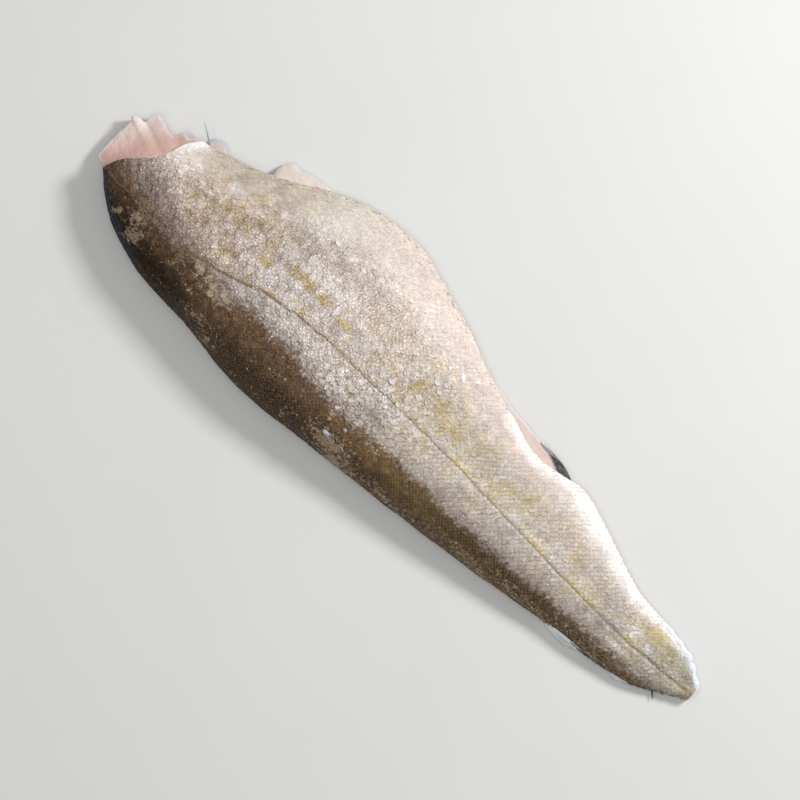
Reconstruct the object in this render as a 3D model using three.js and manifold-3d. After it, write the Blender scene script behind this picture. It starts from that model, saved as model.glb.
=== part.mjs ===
// A frozen pollock fillet with its skin on, lying skin side up with its flesh side flat below.
// Millimetres. +X runs from the cut behind the head to the tail, +Y from the back to the belly, +Z up.
// The origin is on the underside, in the middle of the fillet's length and width.

import * as THREE from "three";
import { mergeVertices } from "three/addons/utils/BufferGeometryUtils.js";
import Module from "manifold-3d";

// Driving dimensions
const THICKNESS = 24; // at the thickest place, a third of the way from the head
const SKIN_STEP = 1.1; // from the skin down to bare flesh along a cut
const FLOOR_GAP = 0.4; // under the thin tongues of flesh, which don't carry the fillet
const BONE_GAP = 0.3; // between a bone and the flesh round it

// How finely the surfaces are divided
const SECTIONS = 76; // along the fillet
const BACK_POINTS = 13; // over the skin of one section, from the back edge to the lateral line
const BELLY_POINTS = 14; // from the lateral line on to the belly edge
const POINTS_UNDER = 7; // along the underside of one section
const TONGUE_POINTS = 8; // over a tongue of flesh, from the skin to its lip
const BONE_SIDES = 10;

// Edge of the skin along the back: [x, y]
const BACK_EDGE = [
  [-145, -20.5], [-133, -30.2], [-119, -36], [-106, -38.9], [-80, -40.1], [-53, -43], [-20, -39.8],
  [20, -35], [60, -29.3], [92, -24.2], [120, -20.6], [131, -17.9], [138, -14.1], [145, -9.9], [150.9, -6.6],
];

// Edge of the skin along the belly: [x, y]
const BELLY_EDGE = [
  [-125.5, 13], [-115, 16.2], [-103, 19.8], [-92, 26], [-78, 33.9], [-60, 40.8], [-40, 43], [-22, 38.6],
  [0, 32], [15, 26.4], [30, 22], [46, 18], [56, 19.3], [67, 21.4], [85, 17.1], [109, 9.2],
  [133, 7], [142, 4.6], [150.5, -0.8],
];

// How far the cut behind the head waves from a straight line: [share across, x]
const HEAD_WAVE = [[0, 0], [0.2, -1.2], [0.48, 1.8], [0.62, 1.3], [0.85, -0.6], [1, 0]];
const HEAD_WAVE_END = 0.08; // share of the length over which the wave dies out

// Line of greatest thickness: [x, y, share of THICKNESS]
const CREST = [
  [-146, -8, 0.62], [-120, -14, 0.84], [-85, -17, 0.98], [-45, -16, 1], [0, -13, 0.9], [45, -10, 0.73],
  [85, -8, 0.54], [115, -7, 0.4], [138, -5.5, 0.28], [152, -4, 0.19],
];

// Thickness of the belly wall near its edge: [x, thickness]
const BELLY_WALL = [[-130, 7.5], [-90, 6], [-40, 5], [10, 5.5], [60, 6.5], [110, 4.8], [152, 3]];

// The lateral line, a narrow groove along the flank that fades out towards the head: [x, y]
const LATERAL_LINE = [
  [-146, -19.5], [-117, -21], [-103, -21], [-90, -18], [-70, -11.3], [-45, -7], [-20, -6.4], [20, -5.6],
  [55, -6.5], [100, -7.4], [121, -7.2], [150, -4.5],
];
const LINE_WIDTH = 2.4;
const LINE_DEPTH = 0.5;
const LINE_FADE = [-112, -84]; // where along x its depth grows from nothing to all

const RIM_SHARE = 0.2; // height of the widest line of a back edge, as a share of the crest
const BACK_TUCK = 2.6; // how far the underside stays inside that line
const BELLY_ROUND = 6; // width over which the belly's edge is rounded
const BACK_POWERS = { fall: 2.3, round: 1.8 }; // roundness of the back, between its edge and the crest

const curve = (rows) =>
  new THREE.CubicInterpolant(
    rows.map(([x]) => x),
    rows.flatMap((row) => row.slice(1)),
    rows[0].length - 1,
  );
const backEdge = curve(BACK_EDGE);
const bellyEdge = curve(BELLY_EDGE);
const crestLine = curve(CREST);
const bellyWall = curve(BELLY_WALL);
const lateralLine = curve(LATERAL_LINE);
const headWave = curve(HEAD_WAVE);
const { clamp, lerp, smoothstep } = THREE.MathUtils;

// A straight section from the back edge to the belly edge, at a share of the length
function section(along) {
  const ends = [BACK_EDGE, BELLY_EDGE].map((edge) => lerp(edge[0][0], edge.at(-1)[0], along));
  const back = new THREE.Vector2(ends[0], backEdge.evaluate(ends[0])[0]);
  const belly = new THREE.Vector2(ends[1], bellyEdge.evaluate(ends[1])[0]);
  const [crestY, crestShare] = crestLine.evaluate((ends[0] + ends[1]) / 2);
  const shareAt = (y) => (y - back.y) / (belly.y - back.y);
  const lineX = lerp(ends[0], ends[1], shareAt(crestY));
  return {
    back,
    belly,
    wave: 1 - smoothstep(along, 0, HEAD_WAVE_END),
    width: back.distanceTo(belly),
    crest: crestShare * THICKNESS,
    crestAt: shareAt(crestY),
    wall: bellyWall.evaluate(ends[1])[0],
    lineAt: shareAt(lateralLine.evaluate(lineX)[0]),
    lineDepth: LINE_DEPTH * smoothstep(lineX, ...LINE_FADE),
  };
}

// Place in plan at a share of the way from the back edge to the belly edge
function planPoint({ back, belly, wave }, across) {
  const point = back.clone().lerp(belly, across);
  point.x += wave * headWave.evaluate(across)[0];
  return point;
}

// Height of the skin at the same share
function skinHeight({ width, crest, crestAt, wall }, across) {
  if (across < crestAt) {
    const out = 1 - across / crestAt;
    const rim = crest * RIM_SHARE;
    return rim + (crest - rim) * Math.pow(1 - Math.pow(out, BACK_POWERS.fall), 1 / BACK_POWERS.round);
  }
  const inward = (1 - across) / (1 - crestAt);
  const out = 1 - clamp(((1 - across) * width) / BELLY_ROUND, 0, 1);
  const edge = wall * (0.4 + 0.6 * Math.sqrt(1 - out * out));
  return edge + (crest - wall) * smoothstep(inward, 0, 1);
}

// The closed outline of one section: over the skin, then back along the underside
function skinRing(along) {
  const cut = section(along);
  const ring = [];
  const add = (across, z) => {
    const { x, y } = planPoint(cut, across);
    ring.push(new THREE.Vector3(x, y, z));
  };
  const side = Math.min(LINE_WIDTH / 2 / cut.width, cut.lineAt / 4);
  const quarter = (share) => (Math.PI / 2) * share;
  for (let i = 0; i < BACK_POINTS; i++) {
    const across = (cut.lineAt - side) * (1 - Math.cos(quarter(i / (BACK_POINTS - 1))));
    add(across, skinHeight(cut, across));
  }
  add(cut.lineAt, skinHeight(cut, cut.lineAt) - cut.lineDepth);
  for (let i = 0; i < BELLY_POINTS; i++) {
    const across = lerp(cut.lineAt + side, 1, Math.sin(quarter(i / (BELLY_POINTS - 1))));
    add(across, skinHeight(cut, across));
  }
  const tuck = Math.min(BACK_TUCK / cut.width, 0.15);
  for (let i = 0; i < POINTS_UNDER; i++) add(lerp(1 - tuck / 2, tuck, i / (POINTS_UNDER - 1)), 0);
  return ring;
}

// A closed surface through rings of equal length, with each end closed by a fan
function loft(rings) {
  const size = rings[0].length;
  const points = rings.flat();
  const faces = [];
  for (let row = 0; row + 1 < rings.length; row++) {
    for (let i = 0; i < size; i++) {
      const a = row * size + i;
      const b = row * size + ((i + 1) % size);
      faces.push(a, a + size, b, b, a + size, b + size);
    }
  }
  const closeEnd = (first, flip) => {
    const centre = new THREE.Vector3();
    for (const point of points.slice(first, first + size)) centre.addScaledVector(point, 1 / size);
    const middle = points.push(centre) - 1;
    for (let i = 0; i < size; i++) {
      const pair = [first + i, first + ((i + 1) % size)];
      faces.push(middle, ...(flip ? pair.reverse() : pair));
    }
  };
  closeEnd(0, false);
  closeEnd((rings.length - 1) * size, true);
  return new THREE.BufferGeometry().setFromPoints(points).setIndex(faces);
}

const skinBody = () => loft(Array.from({ length: SECTIONS + 1 }, (_, i) => skinRing(i / SECTIONS)));

// A tongue of bare flesh from under the skin out to its lip. Its sizes are functions of the share along it.
function tongue({ steps, root, lip, rootHeight, lipHeight, flakes = 0, flakeDepth = 0 }) {
  const ring = (along) => {
    const from = root(along);
    const to = lip(along);
    const [high, low] = [rootHeight(along), lipHeight(along)];
    const points = [];
    for (let i = 0; i < TONGUE_POINTS; i++) {
      const out = i / (TONGUE_POINTS - 1);
      const flake = Math.abs(Math.sin(Math.PI * flakes * (along + out / 14))) - 0.6;
      const { x, y } = from.clone().lerp(to, out);
      const z = lerp(high, low, out ** 1.3) + flakeDepth * flake * Math.sin(Math.PI * out);
      points.push(new THREE.Vector3(x, y, z));
    }
    const under = from.clone().lerp(to, 0.93);
    for (const { x, y } of [under, from]) points.push(new THREE.Vector3(x, y, FLOOR_GAP));
    return points;
  };
  return loft(Array.from({ length: steps + 1 }, (_, i) => ring(i / steps)));
}

// A smooth line through plan points, as a function of the share of its length
function planLine(points, tension = 0.5) {
  const flat = points.map(([x, y]) => new THREE.Vector3(x, y, 0));
  const line = new THREE.CatmullRomCurve3(flat, false, "catmullrom", tension);
  return (share) => {
    const { x, y } = line.getPointAt(share);
    return new THREE.Vector2(x, y);
  };
}

// The torn flesh that the slanting cut behind the head leaves in front of the skin
const HEAD_LIP = [
  [-144.2, -19.9], [-149.4, -18.7], [-150.2, -12], [-150, -1], [-151.1, 0.9], [-149.6, 2.3], [-145.9, 2.8],
  [-146.2, 4.7], [-144.7, 8.2], [-141, 8], [-135.2, 6.5], [-133.8, 8.2], [-133.3, 9.9], [-132, 10.5],
  [-130.4, 10.1], [-128.6, 11.7], [-124.4, 13.2],
];
const HEAD_UNDER = new THREE.Vector2(6, 0); // how far this flesh runs back under the skin

function headFlesh() {
  const cut = section(0);
  const across = (along) => lerp(0.06, 0.97, along);
  return tongue({
    steps: 60,
    root: (along) => planPoint(cut, across(along)).add(HEAD_UNDER),
    lip: planLine(HEAD_LIP, 0.35),
    rootHeight: (along) => skinHeight(cut, across(along)) - SKIN_STEP,
    lipHeight: (along) => 3.2 + 2.6 * Math.sin(Math.PI * along),
    flakes: 6,
    flakeDepth: 0.6,
  });
}

// A flap of flesh that shows past the edge of the skin
function edgeFlap({ edge, from, to, under, lip, height, steps = 24, flakes, flakeDepth }) {
  return tongue({
    steps,
    root: (along) => {
      const x = lerp(from, to, along);
      return new THREE.Vector2(x, edge.evaluate(x)[0] + under);
    },
    lip: planLine(lip),
    rootHeight: () => height,
    lipHeight: () => height * 0.6,
    flakes,
    flakeDepth,
  });
}

const EDGE_FLAPS = [
  {
    edge: bellyEdge, from: -124.5, to: -115.5, under: -3, height: 4.2, flakes: 1, flakeDepth: 0.6,
    lip: [[-124.6, 13.6], [-123.2, 16.5], [-119.6, 18.2], [-117, 17.5], [-115.4, 15.8]],
  },
  {
    edge: bellyEdge, from: -97.5, to: -77, under: -4, height: 4.6, flakes: 2, flakeDepth: 0.7,
    lip: [
      [-98, 22], [-98.5, 26], [-97.3, 30], [-95, 31.4], [-92.6, 31.1], [-87, 32.9],
      [-80, 34.1], [-76.6, 33.8],
    ],
  },
  {
    edge: bellyEdge, from: 15, to: 62, under: -4, height: 3, flakes: 3, flakeDepth: 0.3,
    lip: [[14, 26.2], [20, 26.1], [27, 24.5], [34, 24], [42, 23.3], [51, 23], [57, 22.3], [62, 20.6]],
  },
  {
    edge: backEdge, from: 111, to: 92, under: 4, height: 1.6,
    lip: [[111.5, -21.6], [105, -24.1], [100, -25], [95, -24.6], [91, -23.9]],
  },
];

// A needle with its root at the start and its point at the end, on a named axis
function needle(name, start, end, radius, material) {
  const axis = new THREE.Vector3().subVectors(end, start);
  const length = axis.length();
  const profile = [
    [0, 0], [radius, 0.4], [radius * 0.9, length * 0.5], [radius * 0.6, length - 0.6], [0, length],
  ];
  const shape = new THREE.LatheGeometry(profile.map(([r, y]) => new THREE.Vector2(r, y)), BONE_SIDES);
  const mesh = new THREE.Mesh(shape, material);
  mesh.name = name;
  mesh.position.copy(start);
  mesh.quaternion.setFromUnitVectors(new THREE.Vector3(0, 1, 0), axis.normalize());
  mesh.updateMatrix();
  return mesh;
}

// The hole that a needle leaves in the flesh
function socket(bone) {
  const bounds = new THREE.Box3().setFromBufferAttribute(bone.geometry.getAttribute("position"));
  const depth = bounds.max.y + 2 * BONE_GAP;
  const radius = bounds.max.x + BONE_GAP;
  const hole = new THREE.CylinderGeometry(radius, radius, depth, BONE_SIDES);
  return hole.translate(0, depth / 2 - BONE_GAP, 0).applyMatrix4(bone.matrix);
}

const wasm = await Module();
wasm.setup();

// A geometry as a solid that can be joined and cut
function solid(geometry) {
  const bare = geometry.clone();
  bare.deleteAttribute("normal");
  bare.deleteAttribute("uv");
  const merged = mergeVertices(bare, 1e-4);
  const faces = merged.index.array;
  const triVerts = [];
  for (let i = 0; i < faces.length; i += 3) {
    const [a, b, c] = faces.slice(i, i + 3);
    if (a !== b && b !== c && c !== a) triVerts.push(a, b, c);
  }
  const vertProperties = merged.getAttribute("position").array;
  const mesh = new wasm.Mesh({ numProp: 3, vertProperties, triVerts: new Uint32Array(triVerts) });
  return new wasm.Manifold(mesh);
}

function geometryOf(made) {
  const { vertProperties, triVerts } = made.getMesh();
  const geometry = new THREE.BufferGeometry();
  geometry.setAttribute("position", new THREE.BufferAttribute(vertProperties, 3));
  geometry.setIndex(new THREE.BufferAttribute(triVerts, 1));
  geometry.computeVertexNormals();
  return geometry;
}

// Colours and finishes
const skinFinish = new THREE.MeshStandardMaterial({ color: 0xc0b09c, roughness: 0.55, metalness: 0 });
const boneFinish = new THREE.MeshStandardMaterial({ color: 0xa9b3bd, roughness: 0.4, metalness: 0 });
const rayFinish = new THREE.MeshStandardMaterial({ color: 0x4a4d4f, roughness: 0.5, metalness: 0 });

const point = (x, y, z) => new THREE.Vector3(x, y, z);
const pinBone = needle("pin_bone", point(-120.6, 12.2, 2.4), point(-130, 18.4, 5.4), 0.34, boneFinish);
const finRay = needle("fin_ray", point(135.6, -11.4, 1.6), point(141.6, -16, 1.4), 0.55, rayFinish);

const pieces = [skinBody(), headFlesh(), ...EDGE_FLAPS.map(edgeFlap)];
let flesh = pieces.map(solid).reduce((joined, next) => joined.add(next));
for (const bone of [pinBone, finRay]) flesh = flesh.subtract(solid(socket(bone)));

const fillet = new THREE.Mesh(geometryOf(flesh), skinFinish);
fillet.name = "fillet";

const whole = new THREE.Group();
whole.add(fillet, pinBone, finRay);

export default whole;
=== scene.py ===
"""A frozen pollock fillet with its skin on: skin, scales, flesh, membranes, bones and ice, over its frame."""

from functools import lru_cache

import bpy
import numpy as np
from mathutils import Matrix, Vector, noise


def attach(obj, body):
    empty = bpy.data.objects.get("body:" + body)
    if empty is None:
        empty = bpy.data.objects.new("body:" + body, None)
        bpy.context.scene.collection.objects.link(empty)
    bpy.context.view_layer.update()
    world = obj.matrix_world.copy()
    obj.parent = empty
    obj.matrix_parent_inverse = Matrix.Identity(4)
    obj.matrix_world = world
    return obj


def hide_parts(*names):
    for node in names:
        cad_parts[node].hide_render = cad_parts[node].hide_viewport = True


bl_info = {
    "name": "Frozen pollock fillet",
    "version": (1, 0, 0),
    "blender": (4, 5, 0),
    "location": "View3D > Sidebar > Fillet",
    "description": "Makes the skin, scales, flesh, membranes, bones and ice of a frozen skin-on fillet",
    "category": "Object",
}

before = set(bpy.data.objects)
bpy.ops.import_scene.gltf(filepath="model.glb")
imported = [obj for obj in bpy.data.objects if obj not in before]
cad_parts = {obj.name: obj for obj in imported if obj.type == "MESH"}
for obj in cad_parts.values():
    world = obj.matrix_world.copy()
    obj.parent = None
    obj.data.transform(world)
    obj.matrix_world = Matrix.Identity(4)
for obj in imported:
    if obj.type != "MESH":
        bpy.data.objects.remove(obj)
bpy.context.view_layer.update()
MM = 0.001

# Shape of the fillet, in millimetres, as in its solids. +X runs to the tail, +Y to the belly and +Z up.

THICKNESS = 24  # at the thickest place
BACK_EDGE = [  # x, y
    (-145, -20.5), (-133, -30.2), (-119, -36), (-106, -38.9), (-80, -40.1), (-53, -43), (-20, -39.8),
    (20, -35), (60, -29.3), (92, -24.2), (120, -20.6), (131, -17.9), (138, -14.1), (145, -9.9), (150.9, -6.6),
]
BELLY_EDGE = [  # x, y
    (-125.5, 13), (-115, 16.2), (-103, 19.8), (-92, 26), (-78, 33.9), (-60, 40.8), (-40, 43), (-22, 38.6),
    (0, 32), (15, 26.4), (30, 22), (46, 18), (56, 19.3), (67, 21.4), (85, 17.1), (109, 9.2), (133, 7),
    (142, 4.6), (150.5, -0.8),
]
HEAD_WAVE = [  # share of the way from the back to the belly, reach of the head cut along x
    (0, 0), (0.2, -1.2), (0.48, 1.8), (0.62, 1.3), (0.85, -0.6), (1, 0),
]
HEAD_WAVE_END = 0.08  # share of the length at which the wave has died out
CREST = [  # x, y of the highest line, height as a share of the thickness
    (-146, -8, 0.62), (-120, -14, 0.84), (-85, -17, 0.98), (-45, -16, 1), (0, -13, 0.9), (45, -10, 0.73),
    (85, -8, 0.54), (115, -7, 0.4), (138, -5.5, 0.28), (152, -4, 0.19),
]
BELLY_WALL = [  # x, height of the belly edge
    (-130, 7.5), (-90, 6), (-40, 5), (10, 5.5), (60, 6.5), (110, 4.8), (152, 3),
]
LATERAL_LINE = [  # x, y
    (-146, -19.5), (-117, -21), (-103, -21), (-90, -18), (-70, -11.3), (-45, -7), (-20, -6.4), (20, -5.6),
    (55, -6.5), (100, -7.4), (121, -7.2), (150, -4.5),
]
LINE_FADE = (-112, -84)  # x between which the lateral line comes in
RIM_SHARE = 0.2  # height of the back edge as a share of the crest's
BACK_TUCK = 2.6  # how far the skin turns in under the back edge
GREATEST_TUCK = 0.15  # and at most, as a share of the width
TUCK_HEIGHT = 0.5  # height of the skin where it ends under the back edge
BELLY_ROUND = 6  # width of the belly edge's rounding
BACK_FALL, BACK_ROUND = 2.3, 1.8  # how the back falls away to its edge
DEEPEST, HIGHEST = 0.6, 0.9  # reach of the skin's creases below its even surface, and of its lumps above it
SKIN_ROWS, SKIN_COLUMNS, TUCK_COLUMNS = 520, 140, 6
INNER_ROW_STEP, INNER_COLUMN_STEP = 3, 5  # the skin's hidden inside is even and has fewer rows and columns
LEAST_OUTSIDE, LEAST_INSIDE = 0.3, 0.1  # least heights of the skin's outside and inside over the floor
FLOOR_CLEARANCE = 0.02  # least height of scales, grains and carved flesh over the floor
BAND_EDGE = [  # x, y where the dark back ends on the flank
    (-146, -11), (-130, -12), (-120, -15), (-110, -17), (-92, -18.5), (-80, -21.5), (-70, -20.5),
    (-40, -20.5), (-30, -22), (10, -21), (40, -19.5), (70, -18.2), (100, -16), (122, -15), (136, -13),
    (152, -10),
]


def smooth_way(p, start, end, leave, arrive):
    """Places at shares of a smooth way between two, which leaves and arrives at given slopes."""
    return (
        (2 * p**3 - 3 * p**2 + 1) * start + (p**3 - 2 * p**2 + p) * leave
        + (3 * p**2 - 2 * p**3) * end + (p**3 - p**2) * arrive
    )


def smooth_rows(rows):
    """A smooth function through rows of (x, value, ...). A row's slope is the mean of those beside it."""
    table = np.array(rows, float)
    x, values = table[:, 0], table[:, 1:]
    chords = np.diff(values, axis=0) / np.diff(x)[:, None]
    slopes = np.vstack([chords[:1], (chords[:-1] + chords[1:]) / 2, chords[-1:]])

    def value_at(place):
        place = np.asarray(place, float)
        row = np.clip(np.searchsorted(x, place, side="right") - 1, 0, len(x) - 2)
        span = (x[row + 1] - x[row])[..., None]
        p = np.clip((place - x[row])[..., None] / span, 0, 1)
        found = smooth_way(p, values[row], values[row + 1], span * slopes[row], span * slopes[row + 1])
        return found[..., 0] if values.shape[1] == 1 else found

    return value_at


back_edge = smooth_rows(BACK_EDGE)
belly_edge = smooth_rows(BELLY_EDGE)
head_wave = smooth_rows(HEAD_WAVE)
crest_line = smooth_rows(CREST)
belly_wall = smooth_rows(BELLY_WALL)
lateral_line = smooth_rows(LATERAL_LINE)
band_edge = smooth_rows(BAND_EDGE)


def lerp(a, b, share):
    return a + (b - a) * share


def smoothstep(value, low, high):
    share = np.clip((value - low) / (high - low), 0, 1)
    return share * share * (3 - 2 * share)


def ripple(points, size, seed, octaves=3):
    """Fractal noise from about -1 to 1 at points in millimetres, with features of a size."""
    flat = np.asarray(points, float).reshape(-1, 3) / size + seed * 17.3
    values = [noise.fractal(Vector(p), 0.8, 2.0, octaves) for p in flat]
    return np.array(values).reshape(np.asarray(points).shape[:-1])


class Sections:
    """Straight sections from the back edge to the belly edge at shares of the length, as columns."""

    def __init__(self, along):
        self.along = np.asarray(along, float)[:, None]
        self.back_x = lerp(BACK_EDGE[0][0], BACK_EDGE[-1][0], self.along)
        self.belly_x = lerp(BELLY_EDGE[0][0], BELLY_EDGE[-1][0], self.along)
        self.back_y = back_edge(self.back_x)
        self.belly_y = belly_edge(self.belly_x)
        self.width = np.hypot(self.belly_x - self.back_x, self.belly_y - self.back_y)
        crest = crest_line((self.back_x + self.belly_x) / 2)
        self.crest = crest[..., 1] * THICKNESS
        self.crest_at = (crest[..., 0] - self.back_y) / (self.belly_y - self.back_y)
        self.wall = belly_wall(self.belly_x)
        self.wave = 1 - smoothstep(self.along, 0, HEAD_WAVE_END)
        self.tuck = np.minimum(BACK_TUCK / self.width, GREATEST_TUCK)

    def plan(self, across):
        """Places in plan at shares of the way from the back edge to the belly edge."""
        x = lerp(self.back_x, self.belly_x, across) + self.wave * head_wave(across)
        return x, lerp(self.back_y, self.belly_y, across)

    def height(self, across):
        """Height of the skin at the same shares."""
        out = np.clip(1 - across / self.crest_at, 0, 1)
        rim = self.crest * RIM_SHARE
        back = rim + (self.crest - rim) * (1 - out**BACK_FALL) ** (1 / BACK_ROUND)
        inward = np.clip((1 - across) / (1 - self.crest_at), 0, 1)
        edge_out = 1 - np.clip((1 - across) * self.width / BELLY_ROUND, 0, 1)
        edge = self.wall * (0.4 + 0.6 * np.sqrt(1 - edge_out**2))
        belly = edge + (self.crest - self.wall) * smoothstep(inward, 0, 1)
        return np.where(across < self.crest_at, back, belly)


def skin_grid():
    """Points of the bare skin: rows along the fillet, columns from under the back edge over to the belly."""
    cut = Sections(np.linspace(0, 1, SKIN_ROWS))
    even = np.linspace(0, 1, SKIN_COLUMNS)
    crowded = (1 - np.cos(np.linspace(0, np.pi, SKIN_COLUMNS))) / 2
    across = (0.55 * crowded + 0.45 * even)[None, :]
    x, y = cut.plan(across)
    over = np.stack([x, y, cut.height(across)], -1)
    share = np.linspace(0, 1, TUCK_COLUMNS, endpoint=False)[None, :]
    x, y = cut.plan(cut.tuck * (1 - share) ** 2)
    under = np.stack([x, y, lerp(TUCK_HEIGHT, cut.height(np.zeros((1, 1))), share)], -1)
    return np.concatenate([under, over], 1)


def unit(vectors):
    """Vectors of the same directions and a length of 1."""
    return vectors / np.maximum(np.linalg.norm(vectors, axis=-1, keepdims=True), 1e-9)


def grid_normals(points):
    """Outward unit normals of a grid of points whose rows run along +X and columns towards +Y."""
    return unit(np.cross(np.gradient(points, axis=0), np.gradient(points, axis=1)))


def line_gap(points):
    """Distance in plan from the lateral line, which runs in short strokes, positive towards the belly."""
    x = points[..., 0]
    stroke = (x / 15 + 0.35 * np.sin(x / 23) + 0.2 * np.sin(x / 9.1)) % 1
    course = lateral_line(x) + lerp(0.3, 0.65, smoothstep(x, -20, -50)) * (0.5 - stroke)
    course = course + 0.2 * np.sin(x / 3.9) * np.sin(x / 17)
    return points[..., 1] - course


def belly_share(points):
    """Share of the way from the lateral line to the belly edge, negative towards the back."""
    x = np.maximum(points[..., 0], BELLY_EDGE[0][0])
    line = lateral_line(points[..., 0])
    return (points[..., 1] - line) / np.maximum(belly_edge(x) - line, 3)


def cut_gap(points):
    """Distance in plan behind the skin's head cut."""
    back, belly = BACK_EDGE[0], BELLY_EDGE[0]
    share = np.clip((points[..., 1] - back[1]) / (belly[1] - back[1]), 0, 1)
    return (points[..., 0] - lerp(back[0], belly[0], share) - head_wave(share)) * 0.86


def pebbled(points):
    """How crumpled the skin is: 1 on the front of the flank, less on the belly, on the back and behind."""
    x, share = points[..., 0], belly_share(points)
    along = lerp(0.12, 1, smoothstep(x, 30, -25)) + 0.2 * smoothstep(x, 88, 112)
    along = along * lerp(1, 0.5, smoothstep(x, -55, -15) * smoothstep(share, 0.1, -0.1))
    side = lerp(0.08, 1, smoothstep(share, 0.75, 0.5))
    back = lerp(0.3, 0.8, smoothstep(x, -85, -110)) * smoothstep(points[..., 1] - back_edge(x), 0.5, 5)
    return along * side * lerp(back, 1, smoothstep(points[..., 1] - band_edge(x), -2, 1))


def crumple(points):
    """Crumpled skin, from about -1 in its sharp creases to 1 on its lumps. Most creases run across."""
    folds = np.abs(ripple(points * (1.3, 0.9, 1), 5.2, 2, 2))
    small = np.abs(ripple(points * (1.2, 1, 1), 2.4, 4, 2))
    return 2.6 * (folds - 0.24) + 1.5 * (small - 0.24)


def skin_relief(points):
    """Height of the skin's own unevenness: lumps, creases, the lateral line and the lifted head edge."""
    gap = line_gap(points)
    deep = smoothstep(points[..., 0], *LINE_FADE)
    groove = -0.3 * np.exp(-((gap / 0.6) ** 2)) + 0.1 * np.exp(-(((np.abs(gap) - 1.5) / 0.8) ** 2))
    lumps = 0.4 * ripple(points, 18, 1, 2) + pebbled(points) * (0.95 * crumple(points) - 0.28)
    lift = 0.5 * smoothstep(cut_gap(points), 2.6, 0) * smoothstep(points[..., 1], -9, 0)
    relief = groove * deep + lumps + lift
    reach = np.where(relief < 0, DEEPEST, HIGHEST)
    return reach * np.tanh(relief / reach)


# Meshes

def mesh_piece(name, points, faces, smooth=True):
    """A mesh object at the origin, from points in millimetres."""
    mesh = bpy.data.meshes.new(name)
    mesh.from_pydata((np.asarray(points) * MM).tolist(), [], faces)
    mesh.validate()
    if smooth:
        mesh.shade_smooth()
    piece = bpy.data.objects.new(name, mesh)
    bpy.context.collection.objects.link(piece)
    return piece


def strip_faces(rows, columns, first=0, closed=False):
    """Four-sided faces over a grid of points, facing up where rows run along +X and columns towards +Y."""
    faces = []
    for row in range(rows - 1):
        for column in range(columns if closed else columns - 1):
            a = first + row * columns + column
            b = first + row * columns + (column + 1) % columns
            faces.append((a, a + columns, b + columns, b))
    return faces


def shell(outer, inner):
    """Points and faces of a closed sheet between two grids. The inner one may skip rows and columns."""
    (rows, columns), (inner_rows, inner_columns) = outer.shape[:2], inner.shape[:2]
    size = rows * columns
    row_step, column_step = (rows - 1) // (inner_rows - 1), (columns - 1) // (inner_columns - 1)
    points = np.concatenate([outer.reshape(-1, 3), inner.reshape(-1, 3)])
    faces = strip_faces(rows, columns)
    faces += [face[::-1] for face in strip_faces(inner_rows, inner_columns, size)]
    rim = [(row, 0) for row in range(rows - 1)]
    rim += [(rows - 1, column) for column in range(columns - 1)]
    rim += [(row, columns - 1) for row in range(rows - 1, 0, -1)]
    rim += [(0, column) for column in range(columns - 1, -1, -1)]
    shared = [i for i, (row, column) in enumerate(rim) if row % row_step == 0 and column % column_step == 0]
    for start, end in zip(shared, shared[1:]):
        above = [row * columns + column for row, column in rim[end:start:-1] + [rim[start]]]
        below = [
            size + row // row_step * inner_columns + column // column_step
            for row, column in (rim[start], rim[end])
        ]
        faces.append((*above, *below))
    return points, faces


def loft(rings):
    """Points and faces of a closed surface through rings of equal length, with a fan at each end."""
    rings = np.asarray(rings)
    count, size = rings.shape[:2]
    points = np.concatenate([rings.reshape(-1, 3), rings[0].mean(0)[None], rings[-1].mean(0)[None]])
    faces = strip_faces(count, size, closed=True)
    first, last = count * size, count * size + 1
    for i in range(size):
        after = (i + 1) % size
        faces.append((first, i, after))
        faces.append((last, (count - 1) * size + after, (count - 1) * size + i))
    return points, faces


def join_solids(solids):
    """Several sets of points and faces as one."""
    points, faces, first = [], [], 0
    for some_points, some_faces in solids:
        points.append(some_points)
        faces += [tuple(first + i for i in face) for face in some_faces]
        first += len(some_points)
    return np.concatenate(points), faces


def read_vectors(items, name):
    """Vectors that a mesh keeps for its points or its faces."""
    flat = np.empty(len(items) * 3, np.float32)
    items.foreach_get(name, flat)
    return flat.reshape(-1, 3).astype(float)


def coordinates(mesh):
    """A mesh's points in millimetres."""
    return read_vectors(mesh.vertices, "co") / MM


def set_coordinates(mesh, points):
    """Moves a mesh's points to places in millimetres."""
    mesh.vertices.foreach_set("co", (points * MM).astype(np.float32).ravel())
    mesh.update()


def keep_off_floor(mesh):
    """Lifts the points that reach below the floor."""
    points = coordinates(mesh)
    points[:, 2] = np.maximum(points[:, 2], FLOOR_CLEARANCE)
    set_coordinates(mesh, points)


def store(mesh, name, values):
    """Keeps one number, or one vector, for each point of a mesh."""
    values = np.asarray(values, np.float32)
    kind = "FLOAT" if values.ndim == 1 else "FLOAT_VECTOR"
    layer = mesh.attributes.new(name, kind, "POINT")
    layer.data.foreach_set("value" if values.ndim == 1 else "vector", values.ravel())


def plain_mesh(piece):
    """Turns a piece with modifiers into one whose mesh holds their result."""
    graph = bpy.context.evaluated_depsgraph_get()
    seen = piece.evaluated_get(graph)
    made = bpy.data.meshes.new_from_object(seen, preserve_all_data_layers=True, depsgraph=graph)
    piece.modifiers.clear()
    spare = piece.data
    piece.data = made
    bpy.data.meshes.remove(spare)
    made.name = piece.name
    return piece


def discard(piece):
    """Removes an object that only served to make others."""
    spare = piece.data
    bpy.data.objects.remove(piece)
    bpy.data.meshes.remove(spare)


def dress(piece, material=None, node="fillet"):
    """Gives a finished piece its material and its place in the frame."""
    if material is not None:
        piece.data.materials.clear()
        piece.data.materials.append(material)
    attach(piece, "root")
    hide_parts(node)


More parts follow.
